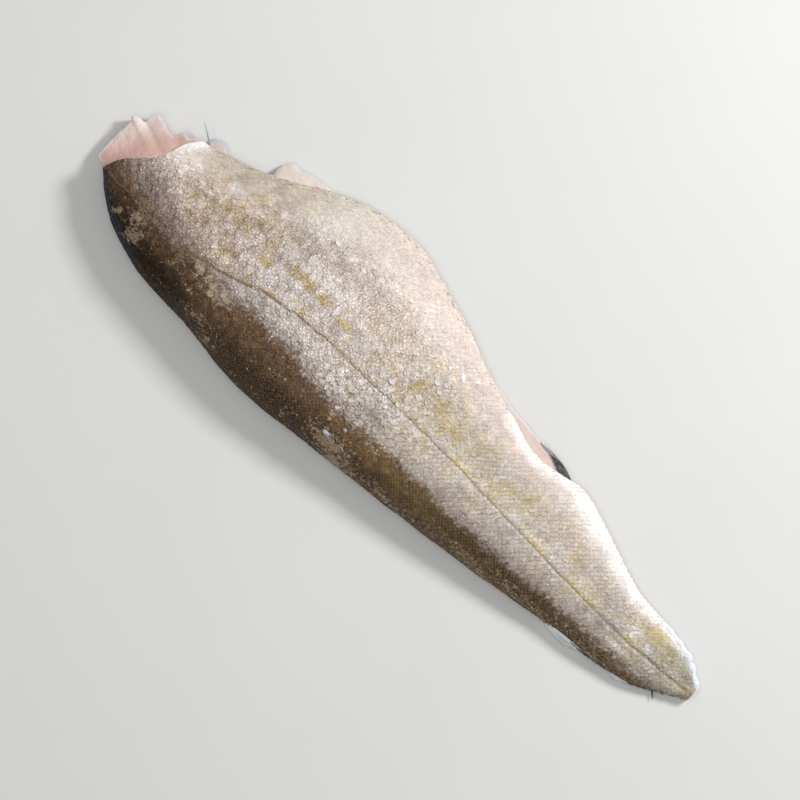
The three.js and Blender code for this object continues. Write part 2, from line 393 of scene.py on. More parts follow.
# Fields that the finishes read, at points in millimetres

YELLOW_SPOTS = [  # x, y, half length, half width, strength
    (-61, 3, 5, 2.5, 1), (-51, 3, 4.5, 2, 0.9), (-40, 1.5, 5, 1.6, 0.9), (-76, -2, 4, 1.8, 0.9),
    (-67, 4, 2, 3, 0.9), (-90, -11, 4, 3, 0.7), (-80, 8, 2.2, 4, 0.8), (-86, 11, 3, 3, 0.6),
    (-94, 12.6, 3.5, 2, 0.6), (-106, -2, 3, 5, 0.5), (-14, 2, 4, 2, 0.8), (-4, 5, 2.4, 4.5, 0.9),
    (8, 6, 3.5, 3, 0.8), (17, 3, 6, 1.8, 0.9), (20, 0.5, 3, 4, 0.6), (33, 6, 6, 2.2, 0.6),
    (45, -3, 4, 2.5, 0.9), (47, 2, 5, 2.5, 0.7), (56, 4, 4, 2.5, 0.6), (62, 1, 3, 2, 0.5),
    (85, 1, 6, 1.8, 0.7), (104, 0, 5, 2, 0.5), (126, 2.2, 6.5, 3.2, 0.9), (133, -2, 4, 2.5, 0.6),
    (-30, 8, 3, 4, 0.5), (-112, 4, 3, 5, 0.5), (-106, 8.6, 3, 2, 0.7), (-100, 2, 3.5, 2, 0.7),
    (-98, 6.6, 2.2, 2.4, 0.8), (-91, 2.3, 2.4, 2, 0.7), (-75, 10.8, 2.4, 1.8, 0.7), (-96, -15, 2.5, 2, 0.5),
    (-39, 6, 2.5, 2, 0.7), (-23, 3, 3, 1.6, 0.6), (-24, -8, 5, 1.5, 0.3), (30, -13, 6, 2, 0.3),
    (74, -1, 5, 2, 0.4), (-50, 14, 4, 3, 0.35),
]
WORN_SPOTS = [  # x, y, half length, half width, strength
    (-122.5, -25, 3, 3, 0.85), (-118.5, -30.2, 4, 2.8, 1.0), (-130, -28, 2, 1.7, 0.75),
    (-82, -23.5, 10, 3.2, 0.8), (-100, -27.5, 5, 0.9, 0.5), (-93, -20.5, 5, 2.2, 0.7), (-86, -19, 5, 2, 0.6),
    (-80, -35, 8, 2.4, 0.5), (-72, -39, 5, 1.6, 0.6), (-44, -29, 6, 1.5, 0.35), (-12, -33, 9, 4, 0.85),
    (-19, -25, 4, 2, 0.6), (2, -24, 4, 2, 0.4), (-5, -37, 9, 2.4, 0.7), (20, -33.5, 10, 1.6, 0.5),
    (62, -28.3, 14, 1.5, 0.5), (90, -24, 14, 1.5, 0.5), (-32, -36, 6, 2.5, 0.3), (114, -20.5, 7, 1.2, 0.5),
    (50, -26.8, 12, 1.8, 0.45), (75, -23.6, 14, 1.8, 0.45), (99, -19.8, 11, 1.6, 0.4),
    (-90, -30, 4, 1.4, 0.35),
]
FROSTED_SPOTS = [  # x, y, half length, half width, strength
    (-104, 9.3, 3.4, 2.6, 1), (-86, 1.5, 3, 2.6, 0.6), (-97, -6, 4, 3, 0.4), (-71, 0, 2.5, 3, 0.4),
    (-57, 10, 6, 4, 0.7), (-44, 9, 3.5, 4.5, 0.5), (-28, -11, 7, 2.2, 0.4), (-16, 1, 3, 2.6, 0.5),
    (119, -2, 3.6, 2.2, 0.85), (120.5, -8, 5, 1.6, 0.5), (117, -11.8, 5, 2.2, 0.8), (127, -3.5, 3, 1.6, 0.7),
    (131, -8, 4, 2, 0.6), (68, -9, 5, 1.8, 0.5), (84, -10, 4, 2, 0.3), (140, -5.5, 4, 1.5, 0.3),
]
# Brightness changes, partly the skin's own tone and partly painted shade, such as the darker spot beside the
# second belly flap at (-96, 20.5).
TONE_AND_SHADE_SPOTS = [  # x, y, half length, half width, change of brightness
    (-28, 8, 24, 9, 0.12), (-54, 7, 8, 4, 0.14), (-138, -15.5, 7, 4, 0.5), (-45, -14, 22, 3.5, 0.08),
    (12, -15.5, 24, 4, 0.1), (126, -11, 9, 3, 0.06), (127, 2, 8, 4, -0.06), (106, -3, 12, 6, -0.22),
    (145, -0.5, 7, 3, -0.25), (143, -8, 7, 3, 0.34), (134, 0, 4.5, 4.5, -0.2), (-96, 20.5, 8, 5, -0.18),
    (-106, 13.5, 7, 4, -0.16), (-101, 9, 4, 3, -0.14), (-88, 4, 5, 3, 0.06), (-74, 13, 8, 5, -0.12),
    (-58, 22, 20, 6, -0.12), (-44, 9, 4, 5, 0.08), (-27, 14, 7, 4, 0.1), (-16, 8, 4, 4, 0.06),
    (3, -1, 5, 3, 0.08), (-74, -15, 7, 4, -0.22), (5, 6, 11, 6, -0.16), (65, 3, 48, 8, -0.17),
    (-11, -15.5, 8, 4, -0.3), (65, -11, 8, 4, -0.14), (105, -10, 9, 4, -0.2), (-113, 5, 10, 6, -0.06),
    (-90, 10, 4, 4, -0.1), (-109.5, 11.5, 4, 3, -0.1), (-96, 6, 3, 4, 0.08), (-15, 30, 18, 4, 0.1),
    (-85, 18, 5, 5, -0.16), (-66, 9, 2.5, 5, -0.1), (-52, 15, 3, 4, 0.1), (-2, 15, 6, 4, 0.12),
    (30, 3, 14, 7, -0.13), (95, 2, 14, 3, -0.08), (-97, -33, 9, 5, -0.26), (-95, -22.5, 7, 3, -0.25),
    (-34, -35, 11, 4, -0.32), (8, -25.5, 28, 5, 0.72), (26, -28, 8, 3, 0.3), (5, -24.5, 8, 2.6, 0.2),
    (5, -32, 6, 2.4, -0.3), (120, -16.5, 5, 2, 0.14), (58, -27.5, 15, 2.5, 0.26), (70, -20.5, 18, 2.4, -0.36),
    (100, -18.5, 9, 2.2, -0.4), (-60, -6, 40, 3, 0.12), (-96, -14.5, 10, 4, 0.42), (-35, -13, 9, 4, 0.12),
    (118, -12, 6, 2.5, 0.1), (65, -5, 12, 3, 0.12), (126, -13, 8, 3, 0.06), (-115, -10, 9, 4, 0.1),
    (-122, -22, 18, 6, 0.22),
]


def spots_field(points, spots, rough, seed, spread=1, size=4.5, join=np.maximum):
    """How strongly a list of soft spots marks each point. Noise of a size makes their rims ragged."""
    x = points[..., 0] + rough * ripple(points, size, seed)
    y = points[..., 1] + rough * 0.6 * ripple(points, size, seed + 1)
    field = np.zeros(points.shape[:-1])
    for spot_x, spot_y, length, width, strength in spots:
        reach = ((x - spot_x) / (length * spread)) ** 2 + ((y - spot_y) / (width * spread)) ** 2
        field = join(field, strength * np.exp(-reach))
    return field


def store_skin_fields(mesh, points):
    """Keeps on a mesh the places and marks that the skin's finish reads."""
    x, y = points[..., 0], points[..., 1]
    store(mesh, "back_depth", band_edge(x) - y)
    store(mesh, "line_gap", line_gap(points))
    store(mesh, "belly_share", belly_share(points))
    store(mesh, "back_gap", y - back_edge(x))
    store(mesh, "cut_gap", cut_gap(points))
    store(mesh, "tone", spots_field(points, TONE_AND_SHADE_SPOTS, 2.5, 15, size=6, join=np.add))
    store(mesh, "crumple", crumple(points))
    store(mesh, "yellow", spots_field(points, YELLOW_SPOTS, 2.2, 5, 1.2))
    store(mesh, "worn", spots_field(points, WORN_SPOTS, 2.0, 9))
    store(mesh, "frosted", spots_field(points, FROSTED_SPOTS, 1.6, 17))


def read(mesh, name, width=1):
    """The numbers, or vectors of three, that a mesh keeps for its points."""
    values = np.empty(len(mesh.vertices) * width, np.float32)
    mesh.attributes[name].data.foreach_get("value" if width == 1 else "vector", values)
    return values if width == 1 else values.reshape(-1, width)


def corners(mesh):
    """The point at each corner of a mesh's faces, and how many corners each face has."""
    corner_point = np.empty(len(mesh.loops), np.int32)
    mesh.loops.foreach_get("vertex_index", corner_point)
    totals = np.empty(len(mesh.polygons), np.int32)
    mesh.polygons.foreach_get("loop_total", totals)
    return corner_point, totals


def keep_bake_map(mesh, places):
    """Keeps each corner's place in the flat map that colours are baked into."""
    bake_map = mesh.uv_layers.new(name="OFBake")
    bake_map.data.foreach_set("uv", places.astype(np.float32).ravel())
    bake_map.active = True


MAP_CELLS = 4  # parts of the length, laid two by two in a piece's map for baking
MAP_MARGIN = 0.02  # of a cell


def map_from_above(piece):
    """Lays a piece out for baking as seen from above, with what faces up and what faces down apart."""
    mesh = piece.data
    points = coordinates(mesh)
    low, high = points.min(0), points.max(0)
    length = (high[0] - low[0]) / MAP_CELLS
    middle = read_vectors(mesh.polygons, "center")[:, 0] / MM
    cell = np.clip(((middle - low[0]) / length).astype(int), 0, MAP_CELLS - 1)
    layer = (read_vectors(mesh.polygons, "normal")[:, 2] < -0.05).astype(int)
    layer_count = layer.max() + 1
    corner_point, totals = corners(mesh)
    cell, layer = np.repeat(cell, totals), np.repeat(layer, totals)
    spot = points[corner_point]
    u = (spot[:, 0] - low[0] - cell * length) / length
    v = (spot[:, 1] - low[1]) / (high[1] - low[1])
    u = (cell % 2 + lerp(MAP_MARGIN, 1 - MAP_MARGIN, u)) / 2
    v = ((cell // 2 + lerp(MAP_MARGIN, 1 - MAP_MARGIN, v)) / 2 + layer) / layer_count
    keep_bake_map(mesh, np.stack([u, v], 1))


# Finishes

def linear(red, green, blue):
    """A colour given as 0 to 255 screen values, in the linear values that shaders use."""
    screen = np.array([red, green, blue]) / 255
    return tuple(np.where(screen <= 0.04045, screen / 12.92, ((screen + 0.055) / 1.055) ** 2.4).tolist())


class Finish:
    """A material and short ways to add nodes to it."""

    def __init__(self, name):
        self.material = bpy.data.materials.new(name)
        self.material.use_nodes = True
        self.tree = self.material.node_tree
        self.tree.nodes.clear()
        self.place = self.add("ShaderNodeTexCoord").outputs["Object"]

    def add(self, kind, inputs=None, **settings):
        node = self.tree.nodes.new(kind)
        for name, value in settings.items():
            setattr(node, name, value)
        for name, value in (inputs or {}).items():
            self.put(node.inputs[name], value)
        return node

    def put(self, socket, value):
        if isinstance(value, bpy.types.NodeSocket):
            self.tree.links.new(value, socket)
        elif socket.type == "RGBA" and len(value) == 3:
            socket.default_value = (*value, 1)
        else:
            socket.default_value = value

    def field(self, name):
        return self.add("ShaderNodeAttribute", attribute_name=name).outputs["Fac"]

    def axis(self, name):
        """One of the piece's own coordinates, in metres."""
        return self.add("ShaderNodeSeparateXYZ", {0: self.place}).outputs[name]

    def stretched(self, x, y, z, move=0.0):
        """The piece's coordinates, for a pattern stretched along its axes and moved to another part of it."""
        inputs = {"Vector": self.place, "Scale": (1 / x, 1 / y, 1 / z)}
        inputs["Location"] = (move, move * 1.7, move * 0.6)
        return self.add("ShaderNodeMapping", inputs).outputs[0]

    def noise(self, size, detail=2.0, roughness=0.5, seed=0.0, stretch=(1, 1, 1)):
        """Noise from 0 to 1 with features of a size in millimetres."""
        where = self.stretched(*stretch, move=seed * 0.37)
        inputs = {"Vector": where, "Scale": 1 / (size * MM), "Detail": detail, "Roughness": roughness}
        return self.add("ShaderNodeTexNoise", inputs).outputs["Fac"]

    def cells(self, size, seed=0.0):
        """Distance from the middles of cells of a size in millimetres, as a share of it."""
        where = self.stretched(1, 1, 1, move=seed * 0.41)
        inputs = {"Vector": where, "Scale": 1 / (size * MM)}
        return self.add("ShaderNodeTexVoronoi", inputs).outputs["Distance"]

    def grains(self, pitch, stray):
        """Distance from the gaps between grains in slanting, loose rows with a pitch in millimetres."""
        slant = {"Vector": self.place, "Rotation": (0, 0, np.pi / 4)}
        where = self.add("ShaderNodeMapping", slant).outputs[0]
        inputs = {"Vector": where, "Scale": 1 / (pitch * MM), "Randomness": stray}
        settings = {"feature": "DISTANCE_TO_EDGE", "voronoi_dimensions": "2D"}
        return self.add("ShaderNodeTexVoronoi", inputs, **settings).outputs["Distance"]

    def maths(self, operation, first, *others):
        """Numbers joined one after the other by an operation."""
        for value in others or (0.0,):
            first = self.add("ShaderNodeMath", {0: first, 1: value}, operation=operation).outputs[0]
        return first

    def times(self, *values):
        return self.maths("MULTIPLY", *values)

    def plus(self, *values):
        return self.maths("ADD", *values)

    def minus(self, *values):
        return self.maths("SUBTRACT", *values)

    def step(self, value, low, high, to_low=0.0, to_high=1.0, soft=True):
        """The value's way from low to high, kept between them and given a new range."""
        inputs = {"Value": value, "From Min": low, "From Max": high, "To Min": to_low, "To Max": to_high}
        kind = "SMOOTHSTEP" if soft else "LINEAR"
        return self.add("ShaderNodeMapRange", inputs, interpolation_type=kind, clamp=True).outputs[0]

    def mix(self, share, a, b, blend="MIX"):
        node = self.add("ShaderNodeMix", data_type="RGBA", blend_type=blend, clamp_factor=True)
        self.put(node.inputs[0], share)
        self.put(node.inputs[6], a)
        self.put(node.inputs[7], b)
        return node.outputs[2]

    def shade(self, share, colour, gain):
        """A colour multiplied by another, as far as a share says."""
        return self.mix(share, colour, gain, "MULTIPLY")

    def brighten(self, colour, gain):
        """A colour with its brightness multiplied by a number from the nodes."""
        return self.add("ShaderNodeVectorMath", {0: colour, "Scale": gain}, operation="SCALE").outputs[0]

    def bump(self, height, depth):
        """A normal from a height of 0 to 1 that stands for a depth in millimetres."""
        inputs = {"Height": height, "Distance": depth * MM, "Strength": 1.0}
        return self.add("ShaderNodeBump", inputs).outputs[0]

    def surface(self, inputs):
        shader = self.add("ShaderNodeBsdfPrincipled", inputs)
        output = self.add("ShaderNodeOutputMaterial")
        self.tree.links.new(shader.outputs[0], output.inputs["Surface"])
        return self.material


# Colours that parts of the skin's colour are multiplied by; most of them are painted light and shade

HIND_SHADE = (0.74, 0.715, 0.7)  # flank behind the middle
# painted light on the skin's lumps and painted shade in its creases
LUMP_PAINTED_LIGHT, CREASE_SHADE = (1.12, 1.14, 1.18), (0.75, 0.71, 0.67)
# painted light on the tops of the fine grain and painted shade in its pits
GRAIN_TOP_PAINTED_LIGHT, PIT_SHADE = (1.14, 1.15, 1.16), (0.72, 0.68, 0.66)  # of the fine grain
# painted shade in the wrinkles and in the gaps between grains
HOLLOW_SHADE = (0.74, 0.69, 0.66)  # wrinkles and gaps between grains
# painted shade on the skin between the scales of the flank
BED_SHADE = (0.9, 0.86, 0.82)  # skin between the scales of the flank
# painted shade on the rims of the flank's scales
RIM_SHADE = (0.65, 0.6, 0.57)  # rims of the scales of the flank


class SkinMarks:
    """Places, noises and marks that the parts of the skin's colour share. x is in metres."""

    def __init__(self, finish):
        self.x = finish.axis("X")
        self.share = finish.field("belly_share")
        self.broad = finish.noise(11, 3, seed=1)
        self.patch = finish.noise(4.2, 3, 0.6, seed=7)
        self.fine = finish.noise(1.9, 3, 0.6, seed=2)
        self.grain = finish.noise(0.65, 2, seed=3)
        self.front = finish.step(self.x, -0.07, -0.115)
        # light is a broad random mottle plus the skin's relief; the painted light on lumps and painted shade
        # in creases follow it
        swell = finish.step(finish.noise(7, 3, 0.6, seed=12), 0.3, 0.7, -0.7, 0.7)
        self.light = finish.plus(swell, finish.field("crumple"))
        self.tone = finish.plus(finish.field("tone"), finish.step(self.patch, 0.25, 0.75, 0.9, 1.1))
        self.ragged = finish.plus(
            finish.field("back_depth"),
            finish.step(self.broad, 0.2, 0.8, -1.8, 1.8),
            finish.step(self.fine, 0.2, 0.8, -2.8, 2.8),
        )


def flank_base(finish, colours, at):
    """The flank from the grey strip over the lateral line to the pale belly, with its front and its tail."""
    stray = finish.plus(
        finish.step(at.broad, 0.2, 0.8, -0.14, 0.14),
        finish.step(at.patch, 0.2, 0.8, -0.1, 0.1),
    )
    wander = finish.plus(at.share, finish.times(stray, finish.step(at.x, 0.03, 0.07, 1, 0.4)))
    flank = finish.mix(finish.step(wander, -0.45, 0.05), colours.grey, colours.flank)
    flank = finish.mix(finish.step(wander, 0.15, 0.6), flank, colours.upper)
    flank = finish.shade(finish.step(at.x, -0.02, 0.015), flank, HIND_SHADE)
    side = finish.mix(finish.step(at.x, -0.08, -0.035), colours.cream, colours.belly)
    # The belly's own white towards the tail, partly painted highlight where the belly edge faces the light
    side = finish.mix(finish.step(at.x, 0.045, 0.085), side, colours.white)
    flank = finish.mix(finish.step(wander, 0.44, 1.0), flank, side)
    # Whiter still along the rear belly edge: partly its own white, partly painted highlight
    white_fold_and_highlight = finish.times(finish.step(at.share, 0.8, 0.96), finish.step(at.x, 0.022, 0.036))
    flank = finish.mix(white_fold_and_highlight, flank, colours.white)
    rubbed = finish.times(
        finish.step(at.x, -0.07, -0.09),
        finish.step(at.patch, 0.35, 0.65, 0.85, 0.25),
        finish.step(at.x, -0.122, -0.112, 0.35, 1),
    )
    flank = finish.mix(rubbed, flank, colours.rubbed)
    tail = finish.times(finish.step(at.x, 0.108, 0.138), finish.step(at.share, 1.0, 0.6))
    return finish.mix(tail, flank, colours.tail)


def lumps_painted_light_and_shade(finish, flank, at):
    """Painted light on lumps, leaning to lilac white, and painted shade in creases and dips, leaning to
    brown, most in front.
    """
    keen = finish.plus(finish.step(at.x, 0.01, -0.06, 0.4, 1), finish.step(at.share, 0.02, -0.1, 0, 0.3))
    keen = finish.times(keen, finish.step(at.share, 0.8, 0.45, 0.12, 1))
    flank = finish.shade(finish.times(finish.step(at.light, 0.1, 1.0), keen), flank, LUMP_PAINTED_LIGHT)
    return finish.shade(finish.times(finish.step(at.light, -0.1, -0.9), keen), flank, CREASE_SHADE)


def yellowed(finish, flank, colours, at):
    """A faint yellow cast, and yellow blotches in the hollows over the lateral line, browner in front."""
    cast = finish.times(
        finish.step(at.share, -0.9, -0.1),
        finish.step(at.share, 0.85, 0.5),
        finish.step(at.x, -0.05, 0.0, 0.1, 1),
        finish.step(at.broad, 0.4, 0.62, 0.08, 0.28),
    )
    flank = finish.mix(cast, flank, colours.yellow)
    streaky = finish.noise(4.6, 3, 0.5, seed=11, stretch=(0.9, 1.2, 1))
    zone = finish.times(
        finish.step(at.share, -0.1, 0.06, 0.35, 1),
        finish.step(at.share, 0.6, 0.25, finish.step(at.x, -0.06, -0.09, 0.15, 0.9), 1),
        finish.step(at.x, 0.1, 0.0, 0.5, 0.75),
        finish.step(streaky, 0.46, 0.7),
    )
    blotch = finish.maths("MAXIMUM", finish.field("yellow"), zone)
    blotch = finish.minus(blotch, finish.step(at.light, 0.0, 1.0, 0, 0.25))
    blotch = finish.plus(blotch, finish.step(at.fine, 0.25, 0.75, -0.26, 0.26))
    blotch = finish.step(blotch, 0.18, 0.85, 0, finish.step(at.x, -0.09, -0.06, 0.68, 0.78))
    yellow = finish.mix(finish.step(at.fine, 0.35, 0.65), colours.ochre, colours.yellow)
    yellow = finish.mix(finish.step(at.x, -0.08, -0.1, 0, 0.7), yellow, colours.ochre)
    yellow = finish.mix(finish.step(at.x, -0.03, 0.01, 0, 0.65), yellow, colours.ochre)
    return finish.mix(blotch, flank, yellow)


def flank_colour(finish, colours, at):
    """The whole flank, with painted light and shade on its lumps and creases, yellow blotches, frosted
    patches and dusky strip beside the back.
    """
    flank = flank_base(finish, colours, at)
    flank = lumps_painted_light_and_shade(finish, flank, at)
    flank = yellowed(finish, flank, colours, at)
    frosted = finish.plus(finish.field("frosted"), finish.step(at.fine, 0.25, 0.75, -0.2, 0.2))
    flank = finish.mix(finish.step(frosted, 0.1, 0.9, 0, 0.62), flank, colours.frosted)
    flank = finish.brighten(flank, at.tone)
    dusk = finish.step(at.ragged, -10, -1, 0, finish.step(at.x, -0.105, -0.125, 0.2, 0.7))
    return finish.mix(finish.times(at.front, dusk), flank, colours.dusk)


def back_colour(finish, colours, at):
    """The dark back, redder in front and more olive behind, and how far its blue rim and scuffs cover it."""
    brown = finish.mix(finish.step(at.x, -0.03, 0.03), colours.brown, colours.olive)
    depth = finish.plus(at.ragged, finish.step(at.front, 0, 1, 0, 0.5))
    back = finish.mix(finish.step(depth, 6, 17), brown, colours.back)
    back = finish.brighten(back, finish.step(at.patch, 0.25, 0.75, 0.7, 1.32))
    back = finish.brighten(back, finish.step(at.fine, 0.25, 0.75, 0.68, 1.4))
    back = finish.brighten(back, at.tone)
    dusk = finish.times(at.front, finish.step(at.ragged, 9, 0, 0, 0.45))
    back = finish.mix(dusk, back, colours.dusk)
    off_edge = finish.field("back_gap")
    specks = finish.times(
        finish.step(off_edge, 7.5, 1.5),
        finish.step(at.x, -0.03, 0.0),
        finish.step(finish.noise(1.3, 3, 0.65, seed=6), 0.44, 0.68, 0, 0.75),
    )
    back = finish.mix(specks, back, colours.worn)
    navy = finish.times(
        finish.step(off_edge, 3.4, 1.6),
        finish.step(at.x, -0.108, -0.12),
        finish.step(finish.axis("Z"), 0.003, 0.0095),
        finish.step(at.patch, 0.35, 0.6, 0.15, 1),
    )
    back = finish.mix(navy, back, colours.navy)
    scuff = finish.plus(
        finish.field("worn"),
        finish.step(at.fine, 0.25, 0.75, -0.45, 0.45),
        finish.step(at.grain, 0.25, 0.75, -0.25, 0.25),
    )
    scuff = finish.step(scuff, 0.3, 0.75, 0, 0.85)
    return finish.mix(scuff, back, colours.worn), finish.maths("MAXIMUM", scuff, navy)


def line_drawn(finish, colour, colours, at):
    """The lateral line: a brown thread with yellow along its belly side, wider in front where it also stands
    for painted shade in its crease, and further in front only painted shade in its crease, paler than the
    thread.
    """
    gap = finish.field("line_gap")
    yellow_side = finish.times(
        finish.step(gap, 0.1, 0.5),
        finish.step(gap, 1.9, 0.7),
        finish.step(at.broad, 0.42, 0.58, 0, 0.7),
        finish.step(at.x, -0.088, -0.07),
    )
    colour = finish.mix(yellow_side, colour, colours.yellow)
    off_line = finish.maths("ABSOLUTE", gap)
    # The thread widens in front, where it also stands for painted shade in the crease along the line
    thread = finish.times(
        finish.step(off_line, finish.step(at.x, -0.055, -0.075, 0.8, 1.0), 0.1),
        finish.step(at.patch, 0.3, 0.6, 0.3, finish.step(at.x, -0.03, -0.01, 0.85, 0.65)),
        finish.step(at.x, LINE_FADE[0] * MM, LINE_FADE[1] * MM),
    )
    colour = finish.mix(thread, colour, colours.line)
    # Painted shade in the crease along the line, further in front
    crease = finish.times(
        finish.step(off_line, 0.55, 0.2),
        finish.step(at.x, -0.102, -0.11),
        finish.step(at.fine, 0.3, 0.6, 0.1, 0.55),
    )
    return finish.mix(crease, colour, colours.dusk)


def edged_and_pitted(finish, colour, colours, at):
    """The whitish cut edge beside the head, and a few dark pits."""
    cut = finish.plus(finish.field("cut_gap"), finish.step(at.fine, 0.2, 0.8, -0.5, 0.5))
    belly_half = finish.step(finish.axis("Y"), -0.002, 0.013)
    whitish = finish.times(finish.step(cut, 5.5, 0.8, 0, 0.8), belly_half)
    colour = finish.mix(whitish, colour, colours.lilac)
    pit = finish.step(finish.cells(6.5, seed=2), 0.07, 0.03, 0, 0.75)
    return finish.mix(finish.times(pit, finish.step(at.broad, 0.5, 0.58)), colour, colours.back)


def grain_painted_light_and_shade(finish, colour, in_band, at):
    """Painted shade in the grain's pits, wrinkles and gaps, painted light on its tops, a random speckle, and
    the height of it all; strongest on the front of the flank.
    """
    quiet = finish.step(in_band, 0, 1, 0, finish.step(at.front, 0, 1, 0.45, 0.1))
    gritty = finish.minus(finish.step(at.x, 0.05, 0.0, 0.75, 1), quiet)
    gritty = finish.times(gritty, finish.step(at.share, 0.85, 0.5, 0.25, 1))
    # Painted shade in the pits and painted light on the tops, where the bump sinks and raises the skin
    colour = finish.shade(finish.times(finish.step(at.grain, 0.49, 0.36), gritty), colour, PIT_SHADE)
    colour = finish.shade(finish.times(finish.step(at.grain, 0.53, 0.65), gritty), colour, GRAIN_TOP_PAINTED_LIGHT)
    bare = finish.times(gritty, finish.step(at.x, 0.03, -0.02))
    off_gap = finish.grains(1.5, 0.88)
    net = finish.step(off_gap, 0.15, 0.0, 0, finish.step(at.broad, 0.35, 0.6, 0.4, 0.8))
    wrinkle = finish.noise(1.9, 3, 0.55, seed=23, stretch=(0.8, 1.2, 1))
    wrinkle = finish.step(finish.maths("ABSOLUTE", finish.minus(wrinkle, 0.5)), 0.05, 0.005, 0, 0.7)
    # Painted shade in the wrinkles and the gaps between grains, which the bump also sinks
    hollow = finish.times(finish.maths("MAXIMUM", net, wrinkle), bare, finish.step(at.share, 0.72, 0.45))
    colour = finish.shade(hollow, colour, HOLLOW_SHADE)
    speck = finish.noise(0.36, 1, seed=31)
    colour = finish.brighten(colour, finish.step(speck, 0.3, 0.7, 0.85, 1.15))
    uneven = finish.minus(finish.times(at.grain, 0.7, gritty), finish.times(hollow, 0.6))
    dome = finish.step(off_gap, 0.0, 0.45)
    return colour, finish.plus(uneven, finish.times(dome, bare, 0.7))


def skin_colour(finish, colours):
    """The skin's colour, its shares of the back and of the back's plain parts, its height and fine noise."""
    at = SkinMarks(finish)
    flank = flank_colour(finish, colours, at)
    back, covered = back_colour(finish, colours, at)
    edge = finish.maths("DIVIDE", at.ragged, finish.step(at.front, 0, 1, 1, 2.4))
    in_band = finish.step(edge, -2.0, 2.1)
    colour = finish.mix(finish.step(edge, -6, 0.5, 0, 0.45), flank, colours.dusk)
    colour = finish.mix(in_band, colour, back)
    colour = line_drawn(finish, colour, colours, at)
    colour = edged_and_pitted(finish, colour, colours, at)
    colour, uneven = grain_painted_light_and_shade(finish, colour, in_band, at)
    plain = finish.times(
        in_band, finish.step(covered, 0, 1, 1, 0), finish.step(at.x, -0.1, -0.075, 0.1, 1)
    )
    return colour, in_band, plain, uneven, at.fine


def skin_finish(colours):
    """Skin between and under the scales: painted shade makes it a little darker than they are on the flank;
    its pale net makes it lighter on the back.
    """
    finish = Finish("fish_skin")
    colour, in_band, plain, uneven, fine = skin_colour(finish, colours)
    between_scales_painted_shade = finish.step(finish.field("belly_share"), 0.55, 0.85, 1, 0.3)
    between_scales_painted_shade = finish.times(between_scales_painted_shade, finish.step(in_band, 0, 1, 1, 0))
    colour = finish.shade(between_scales_painted_shade, colour, BED_SHADE)
    return finish.surface({
        "Base Color": finish.mix(finish.times(plain, 0.3), colour, colours.net),
        "Roughness": finish.step(fine, 0.2, 0.8, 0.5, 0.7),
        "Specular IOR Level": 0.18,
        "Normal": finish.bump(uneven, 0.36),
    })


def scale_finish(colours):
    """Scales, each a little lighter or darker than the next: painted shade on their rims on the flank,
    darkest on the side away from the light, and the back's pale net, strongest on the lit side as painted
    light.
    """
    finish = Finish("fish_scales")
    colour, in_band, plain, uneven, fine = skin_colour(finish, colours)
    share = finish.field("belly_share")
    rim_painted_shade = finish.times(
        finish.step(finish.field("rim"), 0.3, 1.0),
        finish.step(in_band, 0, 1, 1, 0),
        finish.step(finish.noise(8, 2, seed=14), 0.35, 0.62, 0.5, 1),
        finish.step(finish.axis("X"), 0.0, 0.05, 0.95, 1),
        finish.step(share, 0.62, 0.92, 1, 0.3),
    )
    colour = finish.shade(rim_painted_shade, colour, RIM_SHADE)
    pale_net_and_painted_light = finish.times(finish.step(finish.field("lit"), 0.1, 0.9), plain, 0.62)
    colour = finish.brighten(colour, finish.step(plain, 0, 1, 1, 0.74))
    colour = finish.mix(pale_net_and_painted_light, colour, colours.net)
    even = finish.step(share, 0.4, 0.75)
    least, most = finish.step(even, 0, 1, 0.88, 0.94), finish.step(even, 0, 1, 1.1, 1.05)
    tint = finish.step(finish.field("tint"), 0, 1, least, most, soft=False)
    return finish.surface({
        "Base Color": finish.brighten(colour, tint),
        "Roughness": finish.step(fine, 0.2, 0.8, 0.42, 0.65),
        "Specular IOR Level": 0.2,
        "Normal": finish.bump(uneven, 0.14),
    })


def crumb_finish(colours):
    """Pale crumbs of loose scale and frost."""
    finish = Finish("scale_crumbs")
    fine = finish.noise(1.1, 3, seed=1)
    return finish.surface({
        "Base Color": finish.mix(finish.step(fine, 0.35, 0.65), colours.worn, colours.crumb),
        "Roughness": finish.step(fine, 0.2, 0.8, 0.5, 0.7),
        "Specular IOR Level": 0.3,
        "Normal": finish.bump(finish.noise(0.4, 2, seed=2), 0.08),
    })


